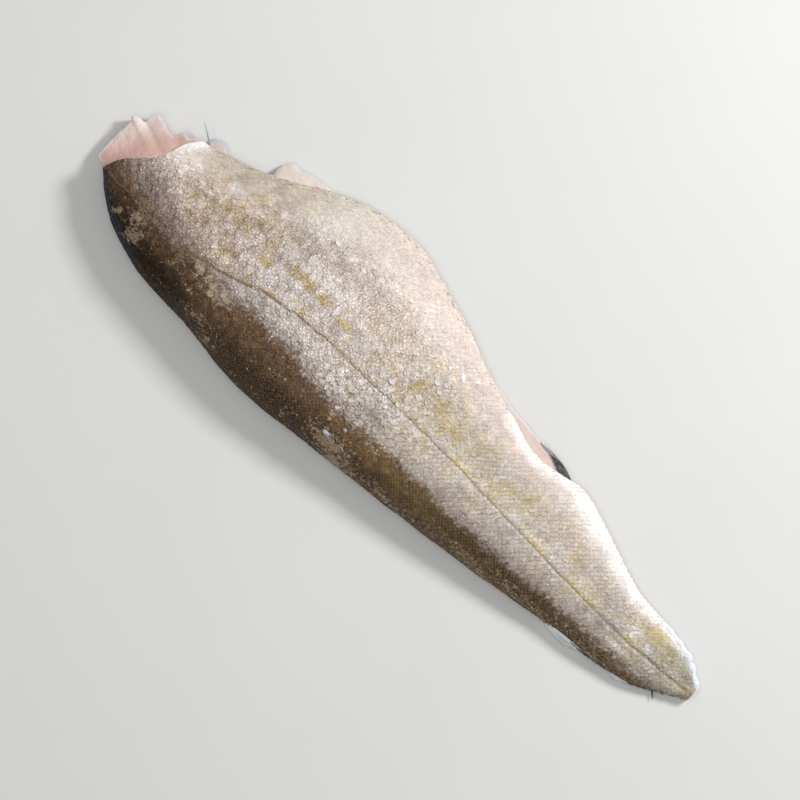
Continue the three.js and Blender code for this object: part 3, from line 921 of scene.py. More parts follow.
def flesh_finish(colours):
    """Raw frozen flesh: pale, pinker close under the skin, whitish at its torn rim, with faint seams, and
    painted light and shade on the torn flesh.
    """
    finish = Finish("raw_flesh")
    x = finish.axis("X")
    broad = finish.noise(9, 3, seed=1)
    fine = finish.noise(1.6, 4, 0.6, seed=2)
    colour = finish.mix(finish.step(broad, 0.3, 0.7), colours.flesh, colours.rose)
    colour = finish.mix(finish.step(finish.field("pink"), 0, 1, 0, 0.9), colour, colours.deep_rose)
    flap = finish.mix(finish.step(x, 0.02, 0.03, 0, 0.35), colours.flap, colours.deep_rose)
    colour = finish.mix(finish.field("flap"), colour, flap)
    colour = finish.mix(finish.step(finish.field("seam"), 0.2, 0.9, 0, 0.5), colour, colours.seam)
    colour = finish.mix(finish.step(finish.field("rim"), 0, 1, 0, 0.85), colour, colours.rim)
    # Painted light and shade: lighter towards the back (-Y) and at the head's front lip (-X), which face away
    # from the light, darker towards the belly, near the cut and on the front flap, which face it.
    across = finish.step(finish.axis("Y"), -0.014, 0.003, 1.1, 0.92)
    along = finish.step(x, -0.1475, -0.1405, 1.12, 0.86)
    along = finish.minus(along, finish.step(x, -0.127, -0.124, 0, 0.12))
    along = finish.maths("MAXIMUM", along, finish.step(x, -0.11, -0.1, 0, 0.92))
    gain = finish.times(finish.step(fine, 0.2, 0.8, 0.94, 1.05), across, along)
    return finish.surface({
        "Base Color": finish.brighten(colour, gain),
        "Roughness": finish.step(fine, 0.2, 0.8, 0.36, 0.55),
        "Specular IOR Level": 0.3,
        "Normal": finish.bump(finish.noise(0.8, 3, seed=3, stretch=(1, 2.5, 1)), 0.15),
        "Subsurface Weight": 0.12,
        "Subsurface Radius": (0.0018, 0.0011, 0.0009),
        "Subsurface Scale": 1.0,
    })


def membrane_finish(name, dark, pale, root, share, fade):
    """A thin skin-like lining, with streaks along it, that turns to its root colour towards the head."""
    finish = Finish(name)
    x = finish.axis("X")
    streak = finish.noise(1.3, 3, 0.55, seed=1, stretch=(9, 1, 1))
    level = finish.plus(streak, finish.step(x, fade[0] * MM, fade[1] * MM, 0.35, 0))
    colour = finish.mix(finish.step(level, share - 0.12, share + 0.12), dark, pale)
    start = finish.plus(x, finish.step(streak, 0.3, 0.7, -0.002, 0.002))
    return finish.surface({
        "Base Color": finish.mix(finish.step(start, (fade[0] + 3) * MM, (fade[0] - 1) * MM), colour, root),
        "Roughness": finish.step(streak, 0.2, 0.8, 0.35, 0.55),
        "Specular IOR Level": 0.3,
        "Normal": finish.bump(streak, 0.2),
    })


def bone_finish(name, root, tip):
    """Bone of two colours in streaks."""
    finish = Finish(name)
    streak = finish.noise(0.6, 3, seed=1)
    return finish.surface({
        "Base Color": finish.mix(finish.step(streak, 0.35, 0.65), root, tip),
        "Roughness": finish.step(streak, 0.2, 0.8, 0.3, 0.5),
        "Normal": finish.bump(streak, 0.05),
    })


def ice_finish(name, colour, cloudy, clear):
    """Ice of one colour with cloudy parts of another, as clear as a share from 0 to 1."""
    finish = Finish(name)
    cloud = finish.noise(1.8, 4, 0.6, seed=1)
    return finish.surface({
        "Base Color": finish.mix(finish.step(cloud, 0.35, 0.65), colour, cloudy),
        "Roughness": finish.step(cloud, 0.3, 0.7, 0.08, 0.35),
        "Normal": finish.bump(finish.noise(1.1, 3, seed=2), 0.25),
        "Transmission Weight": clear,
        "IOR": 1.31,
    })


def floor_finish(colour):
    """A plain matt floor, a very little lighter and darker in places."""
    finish = Finish("pale_floor")
    soft = finish.noise(60, 3, seed=1)
    return finish.surface({
        "Base Color": finish.brighten(colour, finish.step(soft, 0, 1, 0.985, 1.015)),
        "Roughness": 0.7,
    })


# Node trees that cover or strew a surface

class Tree:
    """A geometry node tree and short ways to add nodes to it."""

    def __init__(self, name):
        self.tree = bpy.data.node_groups.new(name, "GeometryNodeTree")
        self.tree.is_modifier = True
        self.tree.interface.new_socket("Geometry", in_out="INPUT", socket_type="NodeSocketGeometry")
        self.tree.interface.new_socket("Geometry", in_out="OUTPUT", socket_type="NodeSocketGeometry")
        self.start = self.add("NodeGroupInput")
        self.end = self.add("NodeGroupOutput")

    def entry(self, name, kind):
        """A named input of the tree."""
        self.tree.interface.new_socket(name, in_out="INPUT", socket_type=kind)
        return self.start.outputs[name]

    def add(self, kind, inputs=None, **settings):
        node = self.tree.nodes.new(kind)
        for name, value in settings.items():
            setattr(node, name, value)
        for name, value in (inputs or {}).items():
            if isinstance(value, bpy.types.NodeSocket):
                self.tree.links.new(value, node.inputs[name])
            else:
                node.inputs[name].default_value = value
        return node

    def field(self, name, kind="FLOAT"):
        """What the points keep under a name: a number, or a vector with the kind FLOAT_VECTOR."""
        return self.add("GeometryNodeInputNamedAttribute", {"Name": name}, data_type=kind).outputs[0]

    def times(self, a, b):
        return self.add("ShaderNodeMath", {0: a, 1: b}, operation="MULTIPLY").outputs[0]

    def random(self, low, high, seed):
        """A random number for each point. Its output is the one of its own kind."""
        node = self.add("FunctionNodeRandomValue", data_type="FLOAT")
        for socket, value in zip((s for s in node.inputs if s.enabled), (low, high, None, seed)):
            if isinstance(value, bpy.types.NodeSocket):
                self.tree.links.new(value, socket)
            elif value is not None:
                socket.default_value = value
        return next(s for s in node.outputs if s.enabled)

    def finish(self, instances, material):
        """Ends the tree with real geometry in its material."""
        made = self.add("GeometryNodeRealizeInstances", {"Geometry": instances})
        painted = self.add("GeometryNodeSetMaterial", {"Geometry": made.outputs[0], "Material": material})
        self.tree.links.new(painted.outputs[0], self.end.inputs[0])

    def use_on(self, piece, values):
        """Adds the tree to a piece with values for its named inputs."""
        modifier = piece.modifiers.new(self.tree.name, "NODES")
        modifier.node_group = self.tree
        for item in self.tree.interface.items_tree:
            if item.in_out == "INPUT" and item.name in values:
                modifier[item.identifier] = values[item.name]


def scale_tree():
    """Sets one scale on each point, lying along the skin with its free edge to the tail."""
    tree = Tree("scale_cover")
    shape = tree.entry("Scale", "NodeSocketObject")
    least = tree.entry("Least size", "NodeSocketFloat")
    most = tree.entry("Greatest size", "NodeSocketFloat")
    seed = tree.entry("Seed", "NodeSocketInt")
    material = tree.entry("Material", "NodeSocketMaterial")
    turn = tree.add(
        "FunctionNodeAxesToRotation",
        {0: tree.field("outward", "FLOAT_VECTOR"), 1: tree.field("tailward", "FLOAT_VECTOR")},
        primary_axis="Z",
        secondary_axis="X",
    )
    tinted = tree.add(
        "GeometryNodeStoreNamedAttribute",
        {"Geometry": tree.start.outputs["Geometry"], "Name": "tint", "Value": tree.random(0.0, 1.0, seed)},
        data_type="FLOAT",
        domain="POINT",
    )
    source = tree.add("GeometryNodeObjectInfo", {"Object": shape})
    covered = tree.add("GeometryNodeInstanceOnPoints", {
        "Points": tinted.outputs[0],
        "Instance": source.outputs["Geometry"],
        "Rotation": turn.outputs[0],
        "Scale": tree.times(tree.random(least, most, seed), tree.field("growth")),
    })
    tree.finish(covered.outputs[0], material)
    return tree


FULL_TURN = 6.28  # in radians


def strew_tree():
    """Strews small grains over a surface and along it, thickest where its amount field is strong."""
    tree = Tree("strew")
    shape = tree.entry("Grain", "NodeSocketObject")
    amount = tree.entry("Grains per square metre", "NodeSocketFloat")
    least = tree.entry("Least size", "NodeSocketFloat")
    most = tree.entry("Greatest size", "NodeSocketFloat")
    seed = tree.entry("Seed", "NodeSocketInt")
    material = tree.entry("Material", "NodeSocketMaterial")
    strewn = tree.add("GeometryNodeDistributePointsOnFaces", {
        "Mesh": tree.start.outputs["Geometry"],
        "Density": tree.times(amount, tree.field("amount")),
        "Seed": seed,
    })
    source = tree.add("GeometryNodeObjectInfo", {"Object": shape})
    spin = tree.add("ShaderNodeCombineXYZ", {"Z": tree.random(0.0, FULL_TURN, seed)})
    turn = tree.add(
        "FunctionNodeRotateRotation",
        {"Rotation": strewn.outputs["Rotation"], "Rotate By": spin.outputs[0]},
        rotation_space="LOCAL",
    )
    set_down = tree.add("GeometryNodeInstanceOnPoints", {
        "Points": strewn.outputs["Points"],
        "Instance": source.outputs["Geometry"],
        "Rotation": turn.outputs[0],
        "Scale": tree.random(least, most, seed),
    })
    tree.finish(set_down.outputs[0], material)
    return tree


# Settings

def colour_property(name, words, screen):
    """A colour that can be changed, given as 0 to 255 screen values."""
    return bpy.props.FloatVectorProperty(
        name=name, description=words, subtype="COLOR", size=3, min=0, max=1, default=linear(*screen)
    )


def length_property(name, words, length, least, most):
    """A length that can be changed, given in millimetres."""
    return bpy.props.FloatProperty(
        name=name, description=words, default=length * MM, min=least * MM, max=most * MM, unit="LENGTH",
        precision=5,
    )


def power_property(name, words, power):
    """A light's power that can be changed, in watts."""
    return bpy.props.FloatProperty(name=name, description=words, default=power, min=0, unit="POWER")


class SkinColours(bpy.types.PropertyGroup):
    """Colours of the skin and its scales."""

    back: colour_property("Back", "Darkest brown, along the back edge", (44, 30, 14))
    brown: colour_property("Brown", "Reddish brown of the front of the back", (95, 72, 50))
    olive: colour_property("Olive", "Olive brown of the back towards the tail", (82, 66, 38))
    net: colour_property("Net", "Paler lines between the scales of the back", (134, 106, 78))
    dusk: colour_property("Dusk", "Lilac brown of the flank beside the head", (147, 132, 128))
    worn: colour_property("Worn", "Pale brown where scales have rubbed off the back", (171, 153, 130))
    crumb: colour_property("Crumb", "Crumbs of loose scale", (158, 140, 112))
    navy: colour_property("Navy", "Blue rim of the back beside the head cut", (27, 34, 62))
    grey: colour_property("Grey", "Lilac grey between the back and the lateral line", (190, 183, 177))
    flank: colour_property("Flank", "Warm grey of the flank", (213, 209, 207))
    upper: colour_property("Upper flank", "Lighter flank towards the belly", (216, 208, 202))
    rubbed: colour_property("Rubbed", "Light brown patches on the front of the flank", (187, 168, 153))
    lilac: colour_property("Lilac", "Whitish lilac edge of the head cut", (234, 231, 236))
    cream: colour_property("Cream", "Cream of the front of the belly", (192, 185, 171))
    belly: colour_property("Belly", "Pinkish white of the belly", (209, 194, 184))
    # White of the belly towards the tail: partly its own white, partly painted highlight where the edge faces
    # the light
    white: colour_property("White", "White of the belly towards the tail", (238, 232, 227))
    tail: colour_property("Tail", "Greenish grey of the tail", (156, 153, 141))
    yellow: colour_property("Yellow", "Yellow blotches on the flank", (204, 185, 131))
    ochre: colour_property("Ochre", "Darker yellow between the pebbles of the flank", (177, 158, 108))
    frosted: colour_property("Frosted", "Bluish white patches of the flank and tail", (222, 221, 221))
    line: colour_property("Line", "Brown thread of the lateral line", (128, 104, 88))


class FleshColours(bpy.types.PropertyGroup):
    """Colours of the flesh, membranes and bones."""

    flesh: colour_property("Flesh", "Pale frozen flesh", (224, 206, 197))
    rose: colour_property("Rose", "Flushed flesh", (219, 196, 187))
    deep_rose: colour_property("Deep rose", "Flesh close under the skin", (206, 167, 156))
    seam: colour_property("Seam", "Pinkish seams between flakes", (198, 154, 142))
    rim: colour_property("Rim", "Whitish lilac rim of the torn flesh", (210, 207, 214))
    flap: colour_property("Flap", "Whitish flesh of the flaps on the edges", (221, 206, 197))
    lining: colour_property("Lining", "Black lining of the belly", (26, 28, 34))
    lining_streak: colour_property("Lining streak", "Lilac grey streaks of the lining", (124, 123, 133))
    film: colour_property("Film", "White membrane of the back edge", (222, 230, 227))
    film_shade: colour_property("Film shade", "Shade in the white membrane", (176, 194, 196))
    bone: colour_property("Bone", "Bluish pin bone", (120, 140, 164))
    ray: colour_property("Ray", "Dark fin ray", (62, 66, 70))


class FilletSizes(bpy.types.PropertyGroup):
    """Sizes of the pieces."""

    skin: length_property("Skin", "Thickness of the skin", 0.7, 0.2, 2)
    scale_pitch: length_property("Scale pitch", "Distance between scales along a row", 2.2, 0.8, 4)
    row_pitch: length_property("Row pitch", "Distance between rows of scales", 1.2, 0.6, 4)
    scale_dome: length_property("Scale dome", "Height of a scale's middle over its rim", 0.08, 0, 1)
    flake_depth: length_property("Flake depth", "Depth of the seams between flakes of flesh", 0.22, 0, 2)
    body_detail: length_property("Body detail", "Smallest detail in the flesh under the skin", 0.85, 0.4, 4)
    torn_detail: length_property("Torn detail", "Smallest detail in the torn flesh", 0.4, 0.2, 4)
    seed: bpy.props.IntProperty(name="Seed", description="Draw of everything strewn", default=7, min=0)


class StageSettings(bpy.types.PropertyGroup):
    """Floor, lights and camera."""

    floor: colour_property("Floor", "Plain pale floor", (206, 206, 204))
    frame_width: length_property("Frame width", "Width of the picture on the floor", 300, 100, 10000)
    camera_height: length_property("Camera height", "Height of the camera over the floor", 4000, 300, 20000)
    key: power_property("Key light", "Power of the main light", 9)
    fill: power_property("Fill light", "Power of the soft top light", 5)


class FilletSettings(bpy.types.PropertyGroup):
    """Everything that can be changed on the fillet."""

    skin: bpy.props.PointerProperty(type=SkinColours)
    flesh: bpy.props.PointerProperty(type=FleshColours)
    sizes: bpy.props.PointerProperty(type=FilletSizes)
    stage: bpy.props.PointerProperty(type=StageSettings)


# Flesh

BODY_ROWS, BODY_COLUMNS, UNDERSIDE_COLUMNS = 170, 60, 24
UNDER_SKIN = 0.3  # gap between the skin's inside and the flesh under it
LEAST_BODY = 0.8  # least height of the flesh under the skin
TORN_GAP = 0.4  # height of the torn flesh's underside over the floor
SKIN_STEP = 1.1  # how far the torn head flesh starts below the skin's outside
HEAD_UNDER = 6  # and how far behind the head cut
LIP_HEIGHT, LIP_RISE = 3.2, 2.6  # height of the head's lip at its ends, and its rise in the middle
LIP_TENSION, FLAP_TENSION = 0.35, 0.5
FLAP_DROP = 0.6  # height of a flap's lip as a share of its root's
HEAD_LIP = [  # x, y
    (-144.2, -19.9), (-149.4, -18.7), (-150.2, -12), (-150, -1), (-151.1, 0.9), (-149.6, 2.3), (-145.9, 2.8),
    (-146.2, 4.7), (-144.7, 8.2), (-141, 8), (-135.2, 6.5), (-133.8, 8.2), (-133.3, 9.9), (-132, 10.5),
    (-130.4, 10.1), (-128.6, 11.7), (-124.4, 13.2),
]
EDGE_FLAPS = [  # start and end along the belly edge's x, reach from the edge, height, lip
    (-124.5, -115.5, -3, 4.2,
     [(-124.6, 13.6), (-123.2, 16.5), (-119.6, 18.2), (-117, 17.5), (-115.4, 15.8)]),
    (-97.5, -77, -4, 4.6,
     [(-98, 22), (-98.5, 26), (-97.3, 30), (-95, 31.4), (-92.6, 31.1), (-87, 32.9), (-80, 34.1),
      (-76.6, 33.8)]),
    (15, 62, -4, 3,
     [(14, 26.2), (20, 26.1), (27, 24.5), (34, 24), (42, 23.3), (51, 23), (57, 22.3), (62, 20.6)]),
]


def plan_line(points, tension, share):
    """Places at shares of the length of a smooth line through plan points."""
    points = np.array(points, float)
    ends = np.vstack([2 * points[0] - points[1], points, 2 * points[-1] - points[-2]])
    p = np.linspace(0, 1, 24, endpoint=False)[:, None]
    parts = []
    for before, start, end, after in zip(ends, ends[1:], ends[2:], ends[3:]):
        leave, arrive = tension * (end - before), tension * (after - start)
        parts.append(smooth_way(p, start, end, leave, arrive))
    line = np.vstack([*parts, points[-1:]])
    length = np.concatenate([[0], np.cumsum(np.linalg.norm(np.diff(line, axis=0), axis=1))])
    return np.stack([np.interp(share * length[-1], length, line[:, i]) for i in range(2)], 1)


def flesh_body(skin):
    """The flesh under the skin, down to a flat underside."""
    cut = Sections(np.linspace(0, 1, BODY_ROWS))
    turn = np.linspace(0, np.pi, BODY_COLUMNS)
    across = ((1 - np.cos(turn)) / 2)[None, :] * np.ones((BODY_ROWS, 1))
    wide = across * cut.width
    high = cut.height(across)
    lean = unit(np.stack([-np.gradient(high, axis=1), np.gradient(wide, axis=1)], -1))
    depth = skin + UNDER_SKIN
    across = np.clip((wide - depth * lean[..., 0]) / cut.width, 0.004, 0.996)
    high = np.maximum(high - depth * lean[..., 1], LEAST_BODY)
    x, y = cut.plan(across)
    over = np.stack([x, y, high], -1)
    share = np.linspace(0, 1, UNDERSIDE_COLUMNS)[None, :]
    x, y = cut.plan(lerp(1 - cut.tuck / 2, cut.tuck, share))
    under = np.stack([x, y, np.zeros_like(x)], -1)
    return loft(np.concatenate([over, under], 1))


def tongue(root, lip, root_height, lip_height):
    """Flesh that reaches from under the skin out to a lip: a ring of points at each place along it."""
    out = np.linspace(0, 1, 16)[None, :]
    plan = lerp(root[:, None, :], lip[:, None, :], out[..., None])
    high = lerp(root_height[:, None], lip_height[:, None], out**1.3)
    over = np.concatenate([plan, high[..., None]], -1)
    low = np.full((len(root), 1), TORN_GAP)
    under = np.concatenate([lerp(root, lip, 0.93), low], 1)[:, None]
    inner = np.concatenate([root, low], 1)[:, None]
    return loft(np.concatenate([over, under, inner], 1))


def head_flesh():
    """The torn flesh in front of the head cut."""
    share = np.linspace(0, 1, 120)
    across = lerp(0.06, 0.97, share)
    cut = Sections([0])
    x, y = cut.plan(across[None, :])
    root = np.stack([x[0] + HEAD_UNDER, y[0]], 1)
    root_height = cut.height(across[None, :])[0] - SKIN_STEP
    lip = plan_line(HEAD_LIP, LIP_TENSION, share)
    return tongue(root, lip, root_height, LIP_HEIGHT + LIP_RISE * np.sin(np.pi * share))


def edge_flap(start, end, under, height, lip):
    """A flap of flesh that hangs out along the belly edge."""
    share = np.linspace(0, 1, 60)
    x = lerp(start, end, share)
    root = np.stack([x, belly_edge(x) + under], 1)
    high = np.full(len(share), float(height))
    return tongue(root, plan_line(lip, FLAP_TENSION, share), high, high * FLAP_DROP)


def head_gap(points):
    """Distance of points in front of the skin's head cut, in plan."""
    back, belly = np.array(BACK_EDGE[0]), np.array(BELLY_EDGE[0])
    along = unit(belly - back)
    offset = points[..., :2] - back
    return offset[..., 1] * along[0] - offset[..., 0] * along[1]


def seam_field(points):
    """How near each point of the flesh is to a seam between flakes: 1 on the seam, 0 on the flake."""
    x, y = points[:, 0], points[:, 1]
    wander = 1.2 * ripple(points, 9, 21)
    middle = lateral_line(x)
    chevron = x + 0.75 * np.abs(y - middle) - 0.012 * (y - middle) ** 2 + wander
    below = np.abs(((chevron / lerp(7.5, 4.5, smoothstep(x, -60, 130))) % 1) - 0.5) * 2
    arc = np.hypot(x + 138, y - 12) + 1.1 * wander
    ahead = np.abs(((arc / 3.4) % 1) - 0.5) * 2
    above = np.where(head_gap(points) > -3, ahead * smoothstep(arc, 12, 18), 0)
    on_top = points[:, 2] > 1
    return smoothstep(np.where(on_top, above, below), np.where(on_top, 0.84, 0.72), 1.0)


def blend(name, solids, detail):
    """One even mesh around overlapping solids."""
    piece = mesh_piece(name, *join_solids(solids))
    remesh = piece.modifiers.new("blend", "REMESH")
    remesh.mode = "VOXEL"
    remesh.voxel_size = detail
    remesh.use_smooth_shade = True
    return plain_mesh(piece)


def carve_flakes(piece, depth, under_skin):
    """Cuts the seams between flakes into the flesh that no skin covers, and keeps what its finish reads."""
    mesh = piece.data
    points, normals = coordinates(mesh), read_vectors(mesh.vertices, "normal")
    shown = normals[:, 2] < 0.2 if under_skin else np.ones(len(points))
    gap = head_gap(points)
    seam = seam_field(points) * shown
    uneven = 0.18 * ripple(points, 5, 23) * shown
    moved = points + normals * (uneven - depth * seam * np.where(points[:, 2] > 1, 0.5, 1))[:, None]
    set_coordinates(mesh, moved)
    keep_off_floor(mesh)
    lips = [plan_line(HEAD_LIP, LIP_TENSION, np.linspace(0, 1, 160))]
    lips += [plan_line(lip, FLAP_TENSION, np.linspace(0, 1, 60)) for *_, lip in EDGE_FLAPS]
    lip = np.vstack(lips)
    to_lip = np.array([np.hypot(*(lip - point[:2]).T).min() for point in points])
    in_head = smoothstep(gap, -2, 0) * (points[:, 0] < -125)
    store(mesh, "seam", seam)
    store(mesh, "flap", np.where(points[:, 2] > 0.8, 1 - in_head, 0))
    store(mesh, "pink", np.where(gap > -8, 1 - smoothstep(gap, 1, 12), 0.1))
    on_top = lerp(0.3, 1, smoothstep(normals[:, 2], 0.1, 0.6))
    store(mesh, "rim", np.where(points[:, 2] > 1.2, 1 - smoothstep(to_lip, 0.4, 1.6), 0) * on_top)
    map_from_above(piece)


def make_flesh(context):
    """Makes the flesh under the skin, and the torn flesh of the head end and the flaps."""
    settings = context.scene.fillet
    sizes = settings.sizes
    finish = flesh_finish(settings.flesh)
    body = blend("flesh", [flesh_body(sizes.skin / MM)], sizes.body_detail)
    carve_flakes(body, sizes.flake_depth / MM, True)
    dress(body, finish)
    solids = [head_flesh()] + [edge_flap(*flap) for flap in EDGE_FLAPS]
    torn = blend("torn_flesh", solids, sizes.torn_detail)
    carve_flakes(torn, sizes.flake_depth / MM, False)
    dress(torn, finish)


# Skin and scales

@lru_cache(maxsize=1)
def skin_surface():
    """The finished outside of the skin and its normals."""
    bare = skin_grid()
    points = bare + grid_normals(bare) * skin_relief(bare)[..., None]
    points[..., 2] = np.maximum(points[..., 2], LEAST_OUTSIDE)
    return points, grid_normals(points)


def skin_top(plan):
    """Height of the skin's outside over places in plan."""
    points, normals = skin_surface()
    seen = points[normals[..., 2] > 0.05]
    return np.array([seen[np.argmin(np.hypot(*(seen[:, :2] - place).T)), 2] for place in plan])


def make_skin(context):
    """Makes the skin as a closed sheet, crumpled outside and even inside."""
    settings = context.scene.fillet
    outer = skin_surface()[0]
    even = skin_grid()
    inner = even - grid_normals(even) * settings.sizes.skin / MM
    inner = inner[::INNER_ROW_STEP, ::INNER_COLUMN_STEP]
    inner[..., 2] = np.maximum(inner[..., 2], LEAST_INSIDE)
    points, faces = shell(outer, inner)
    piece = mesh_piece("skin", points, faces)
    store_skin_fields(piece.data, points)
    map_from_above(piece)
    dress(piece, skin_finish(settings.skin))


SCALE_HEAD, SCALE_TAIL, SCALE_HALF_WIDTH = 1.45, 1.2, 1.12  # reach of one scale from its middle
SCALE_TILT = 0.1  # rise towards the tail end, per length
SCALE_SIZES = (0.94, 1.04)  # least and greatest share of a scale's full size
SCALE_ANGLE = 60  # degrees past which a scale's edge is sharp
FIRST_ROW = 0.15  # how much less than a row pitch the first rows lie from the lateral line
FLANK_ROWS = 10  # rows of full size on the back's side of the lateral line
BACK_SHARE = 0.74  # size of the scales further back
TAIL_SHARE = 0.84  # size of the scales at the tail


def scale_shape(dome):
    """One scale: a rounded rhombic plate with a flat middle, sunk at its head end and lifted at its tail."""
    turn = np.linspace(0, 2 * np.pi, 8, endpoint=False)
    length = np.where(np.cos(turn) < 0, SCALE_HEAD, SCALE_TAIL)
    slim = 1 - 0.1 * np.abs(np.sin(2 * turn))
    rim = np.stack([length * np.cos(turn) * slim, SCALE_HALF_WIDTH * np.sin(turn) * slim], 1)
    plan = np.vstack([rim, rim[::2] * 0.5])
    high = SCALE_TILT * plan[:, 0] + np.repeat([0.0, dome], [8, 4])
    faces = [(0, 8, 7), (1, 8, 0), (2, 9, 1), (3, 9, 2), (4, 10, 3), (5, 10, 4), (6, 11, 5), (7, 11, 6)]
    faces += [(1, 9, 8), (3, 10, 9), (5, 11, 10), (7, 8, 11), (9, 10, 11, 8), tuple(range(7, -1, -1))]
    shape = mesh_piece("scale_shape", np.column_stack([plan, high]), faces)
    inside = [0, 0, 0, 0]
    # Painted shade on the rim, strongest at the tail end on the side away from the light (-Y); lit is painted
    # light, strongest at the tail end on the side towards it.
    store(shape.data, "rim", [0.9, 0.65, 0.5, 0.6, 0.6, 0.6, 0.75, 0.95, *inside])
    store(shape.data, "lit", [0.9, 0.95, 0.7, 0.4, 0.4, 0.4, 0.6, 0.85, *inside])
    store(shape.data, "plate", np.column_stack([plan / SCALE_HEAD, np.zeros(12)]))
    return shape


def taper(x):
    """Size of the scales along the fillet, less towards the tail."""
    return lerp(1, TAIL_SHARE, smoothstep(x, 70, 140))


def row_place(row):
    """Distance of a row from the lateral line in full row pitches, and the size of its scales."""
    if row >= -FLANK_ROWS:
        return row + (1 - FIRST_ROW if row >= 0 else FIRST_ROW), 1.0
    return -FLANK_ROWS + FIRST_ROW + (row + FLANK_ROWS) * BACK_SHARE, BACK_SHARE


def scale_bed(pitch, row_pitch):
    """Places for scales: rows that follow the lateral line, every other one half a step on."""
    points, normals = skin_surface()
    gaps = np.linalg.norm(np.diff(points, axis=1), axis=2)
    reach = np.concatenate([np.zeros((len(points), 1)), np.cumsum(gaps, axis=1)], 1)
    side = line_gap(points)
    at_line = np.array([np.interp(0, side[i], reach[i]) for i in range(len(points))])
    reach = (reach - at_line[:, None]) / (row_pitch * taper(points[:, points.shape[1] // 2, :1]))
    ruler = np.linspace(-160, 160, 1600)
    step_count = np.concatenate([[0], np.cumsum(np.diff(ruler) / (pitch * taper(ruler[1:])))])
    columns = np.arange(points.shape[1])
    index = np.arange(len(points))
    rows = []
    first, last = int(reach.min() / BACK_SHARE) - FLANK_ROWS, int(reach.max())
    for row in range(first, last + 1):
        spot, size = row_place(row)
        inside = (reach[:, 0] + 0.25 < spot) & (spot < reach[:, -1] - 0.3)
        if inside.sum() < 4:
            continue
        place = np.array([np.interp(spot, reach[i], columns) for i in index])
        low = np.clip(place.astype(int), 0, len(columns) - 2)
        share = (place - low)[:, None]
        path = lerp(points[index, low], points[index, low + 1], share)
        lean = lerp(normals[index, low], normals[index, low + 1], share)
        ahead = np.gradient(path, axis=0)
        count = np.interp(path[:, 0], ruler, step_count) / size
        steps = np.arange(np.ceil(count[0]) + 0.5 * (row % 2), count[-1] - 0.3)
        nearest = np.clip(np.searchsorted(count, steps), 0, len(count) - 1)
        steps = steps[inside[nearest]]
        values = [np.interp(steps, count, column) for column in (*path.T, *lean.T, *ahead.T)]
        rows.append(np.column_stack([*values, np.full(len(steps), size)]))
    bed = np.vstack(rows)
    return bed[:, :3], unit(bed[:, 3:6]), unit(bed[:, 6:9]), bed[:, 9]


def lay_out_scales(mesh, count):
    """Gives each scale a cell of its own in the map for baking, with its hidden underside in one corner."""
    side = int(np.ceil(np.sqrt(count)))
    corner_point, totals = corners(mesh)
    under = np.repeat(totals > 4, totals)[:, None]
    number = np.round(read(mesh, "number")[corner_point]).astype(int)
    plate = read(mesh, "plate", 3)[corner_point, :2]
    spot = np.where(under, plate * 0.04 - 0.44, plate * 0.46)
    cell = np.stack([number % side, number // side], 1)
    keep_bake_map(mesh, (cell + 0.5 + spot) / side)


LOST_SHARE, WORN_LOSS = 0.015, 0.45  # scales lost anywhere, and more where the back is worn
LINE_BARE, CUT_BARE = 0.55, 1.2  # no scales this near to the lateral line, or to the head cut


def loose_scales(sizes):
    """The scales that are left: places, normals, directions and sizes, each a little out of order."""
    points, lean, ahead, growth = scale_bed(sizes.scale_pitch / MM, sizes.row_pitch / MM)
    draw = np.random.default_rng(sizes.seed)
    pebbly = pebbled(points)[:, None]
    dotted = smoothstep(points[:, :1], -95, -75) * (points[:, 1:2] < band_edge(points[:, :1]) - 1)
    drift = lerp(0.13, 0.22, pebbly) * (1 - 0.7 * dotted)
    sideways = np.cross(lean, ahead)
    shift = ahead * draw.normal(0, 1, pebbly.shape) + sideways * draw.normal(0, 1, pebbly.shape)
    points = points + shift * drift
    sunk = draw.normal(lerp(0.0, 0.09, pebbly[:, 0]), lerp(0.02, 0.05, pebbly[:, 0]))
    points = points - lean * sunk[:, None]
    lean = lean + draw.normal(0, 1, lean.shape) * lerp(0.05, 0.09, pebbly)
    lean = lean - ahead * lerp(0, 0.06, smoothstep(points[:, :1], 0, 50))
    growth = growth * taper(points[:, 0]) * (1 + draw.normal(0, 0.12, len(points)) * pebbly[:, 0])
    off_line = np.abs(line_gap(points))
    growth = growth * lerp(0.75, 1, smoothstep(off_line, 1.0, 1.6))
    worn = spots_field(points, WORN_SPOTS, 2.0, 9) * (band_edge(points[:, 0]) > points[:, 1])
    bare = smoothstep(pebbly[:, 0], 0.5, 1.0)
    lost = draw.random(len(points)) < LOST_SHARE + WORN_LOSS * worn + bare
    lost |= cut_gap(points) < CUT_BARE
    lost |= off_line < LINE_BARE * smoothstep(points[:, 0], *LINE_FADE)
    return points[~lost], lean[~lost], ahead[~lost], np.clip(growth[~lost], 0.5, 1.3)


def make_scales(context):
    """Covers the skin with scales."""
    settings = context.scene.fillet
    sizes = settings.sizes
    points, lean, ahead, growth = loose_scales(sizes)
    piece = mesh_piece("scales", points, [])
    store(piece.data, "outward", lean)
    store(piece.data, "tailward", ahead)
    store(piece.data, "number", np.arange(len(points)))
    store(piece.data, "growth", growth)
    store_skin_fields(piece.data, points)
    shape = scale_shape(sizes.scale_dome / MM)
    scale_tree().use_on(piece, {
        "Scale": shape,
        "Least size": SCALE_SIZES[0],
        "Greatest size": SCALE_SIZES[1],
        "Seed": sizes.seed,
        "Material": scale_finish(settings.skin),
    })
    plain_mesh(piece)
    discard(shape)
    keep_off_floor(piece.data)
    piece.data.set_sharp_from_angle(angle=np.radians(SCALE_ANGLE))
    lay_out_scales(piece.data, len(points))
    dress(piece)


# Membranes, bones and ice

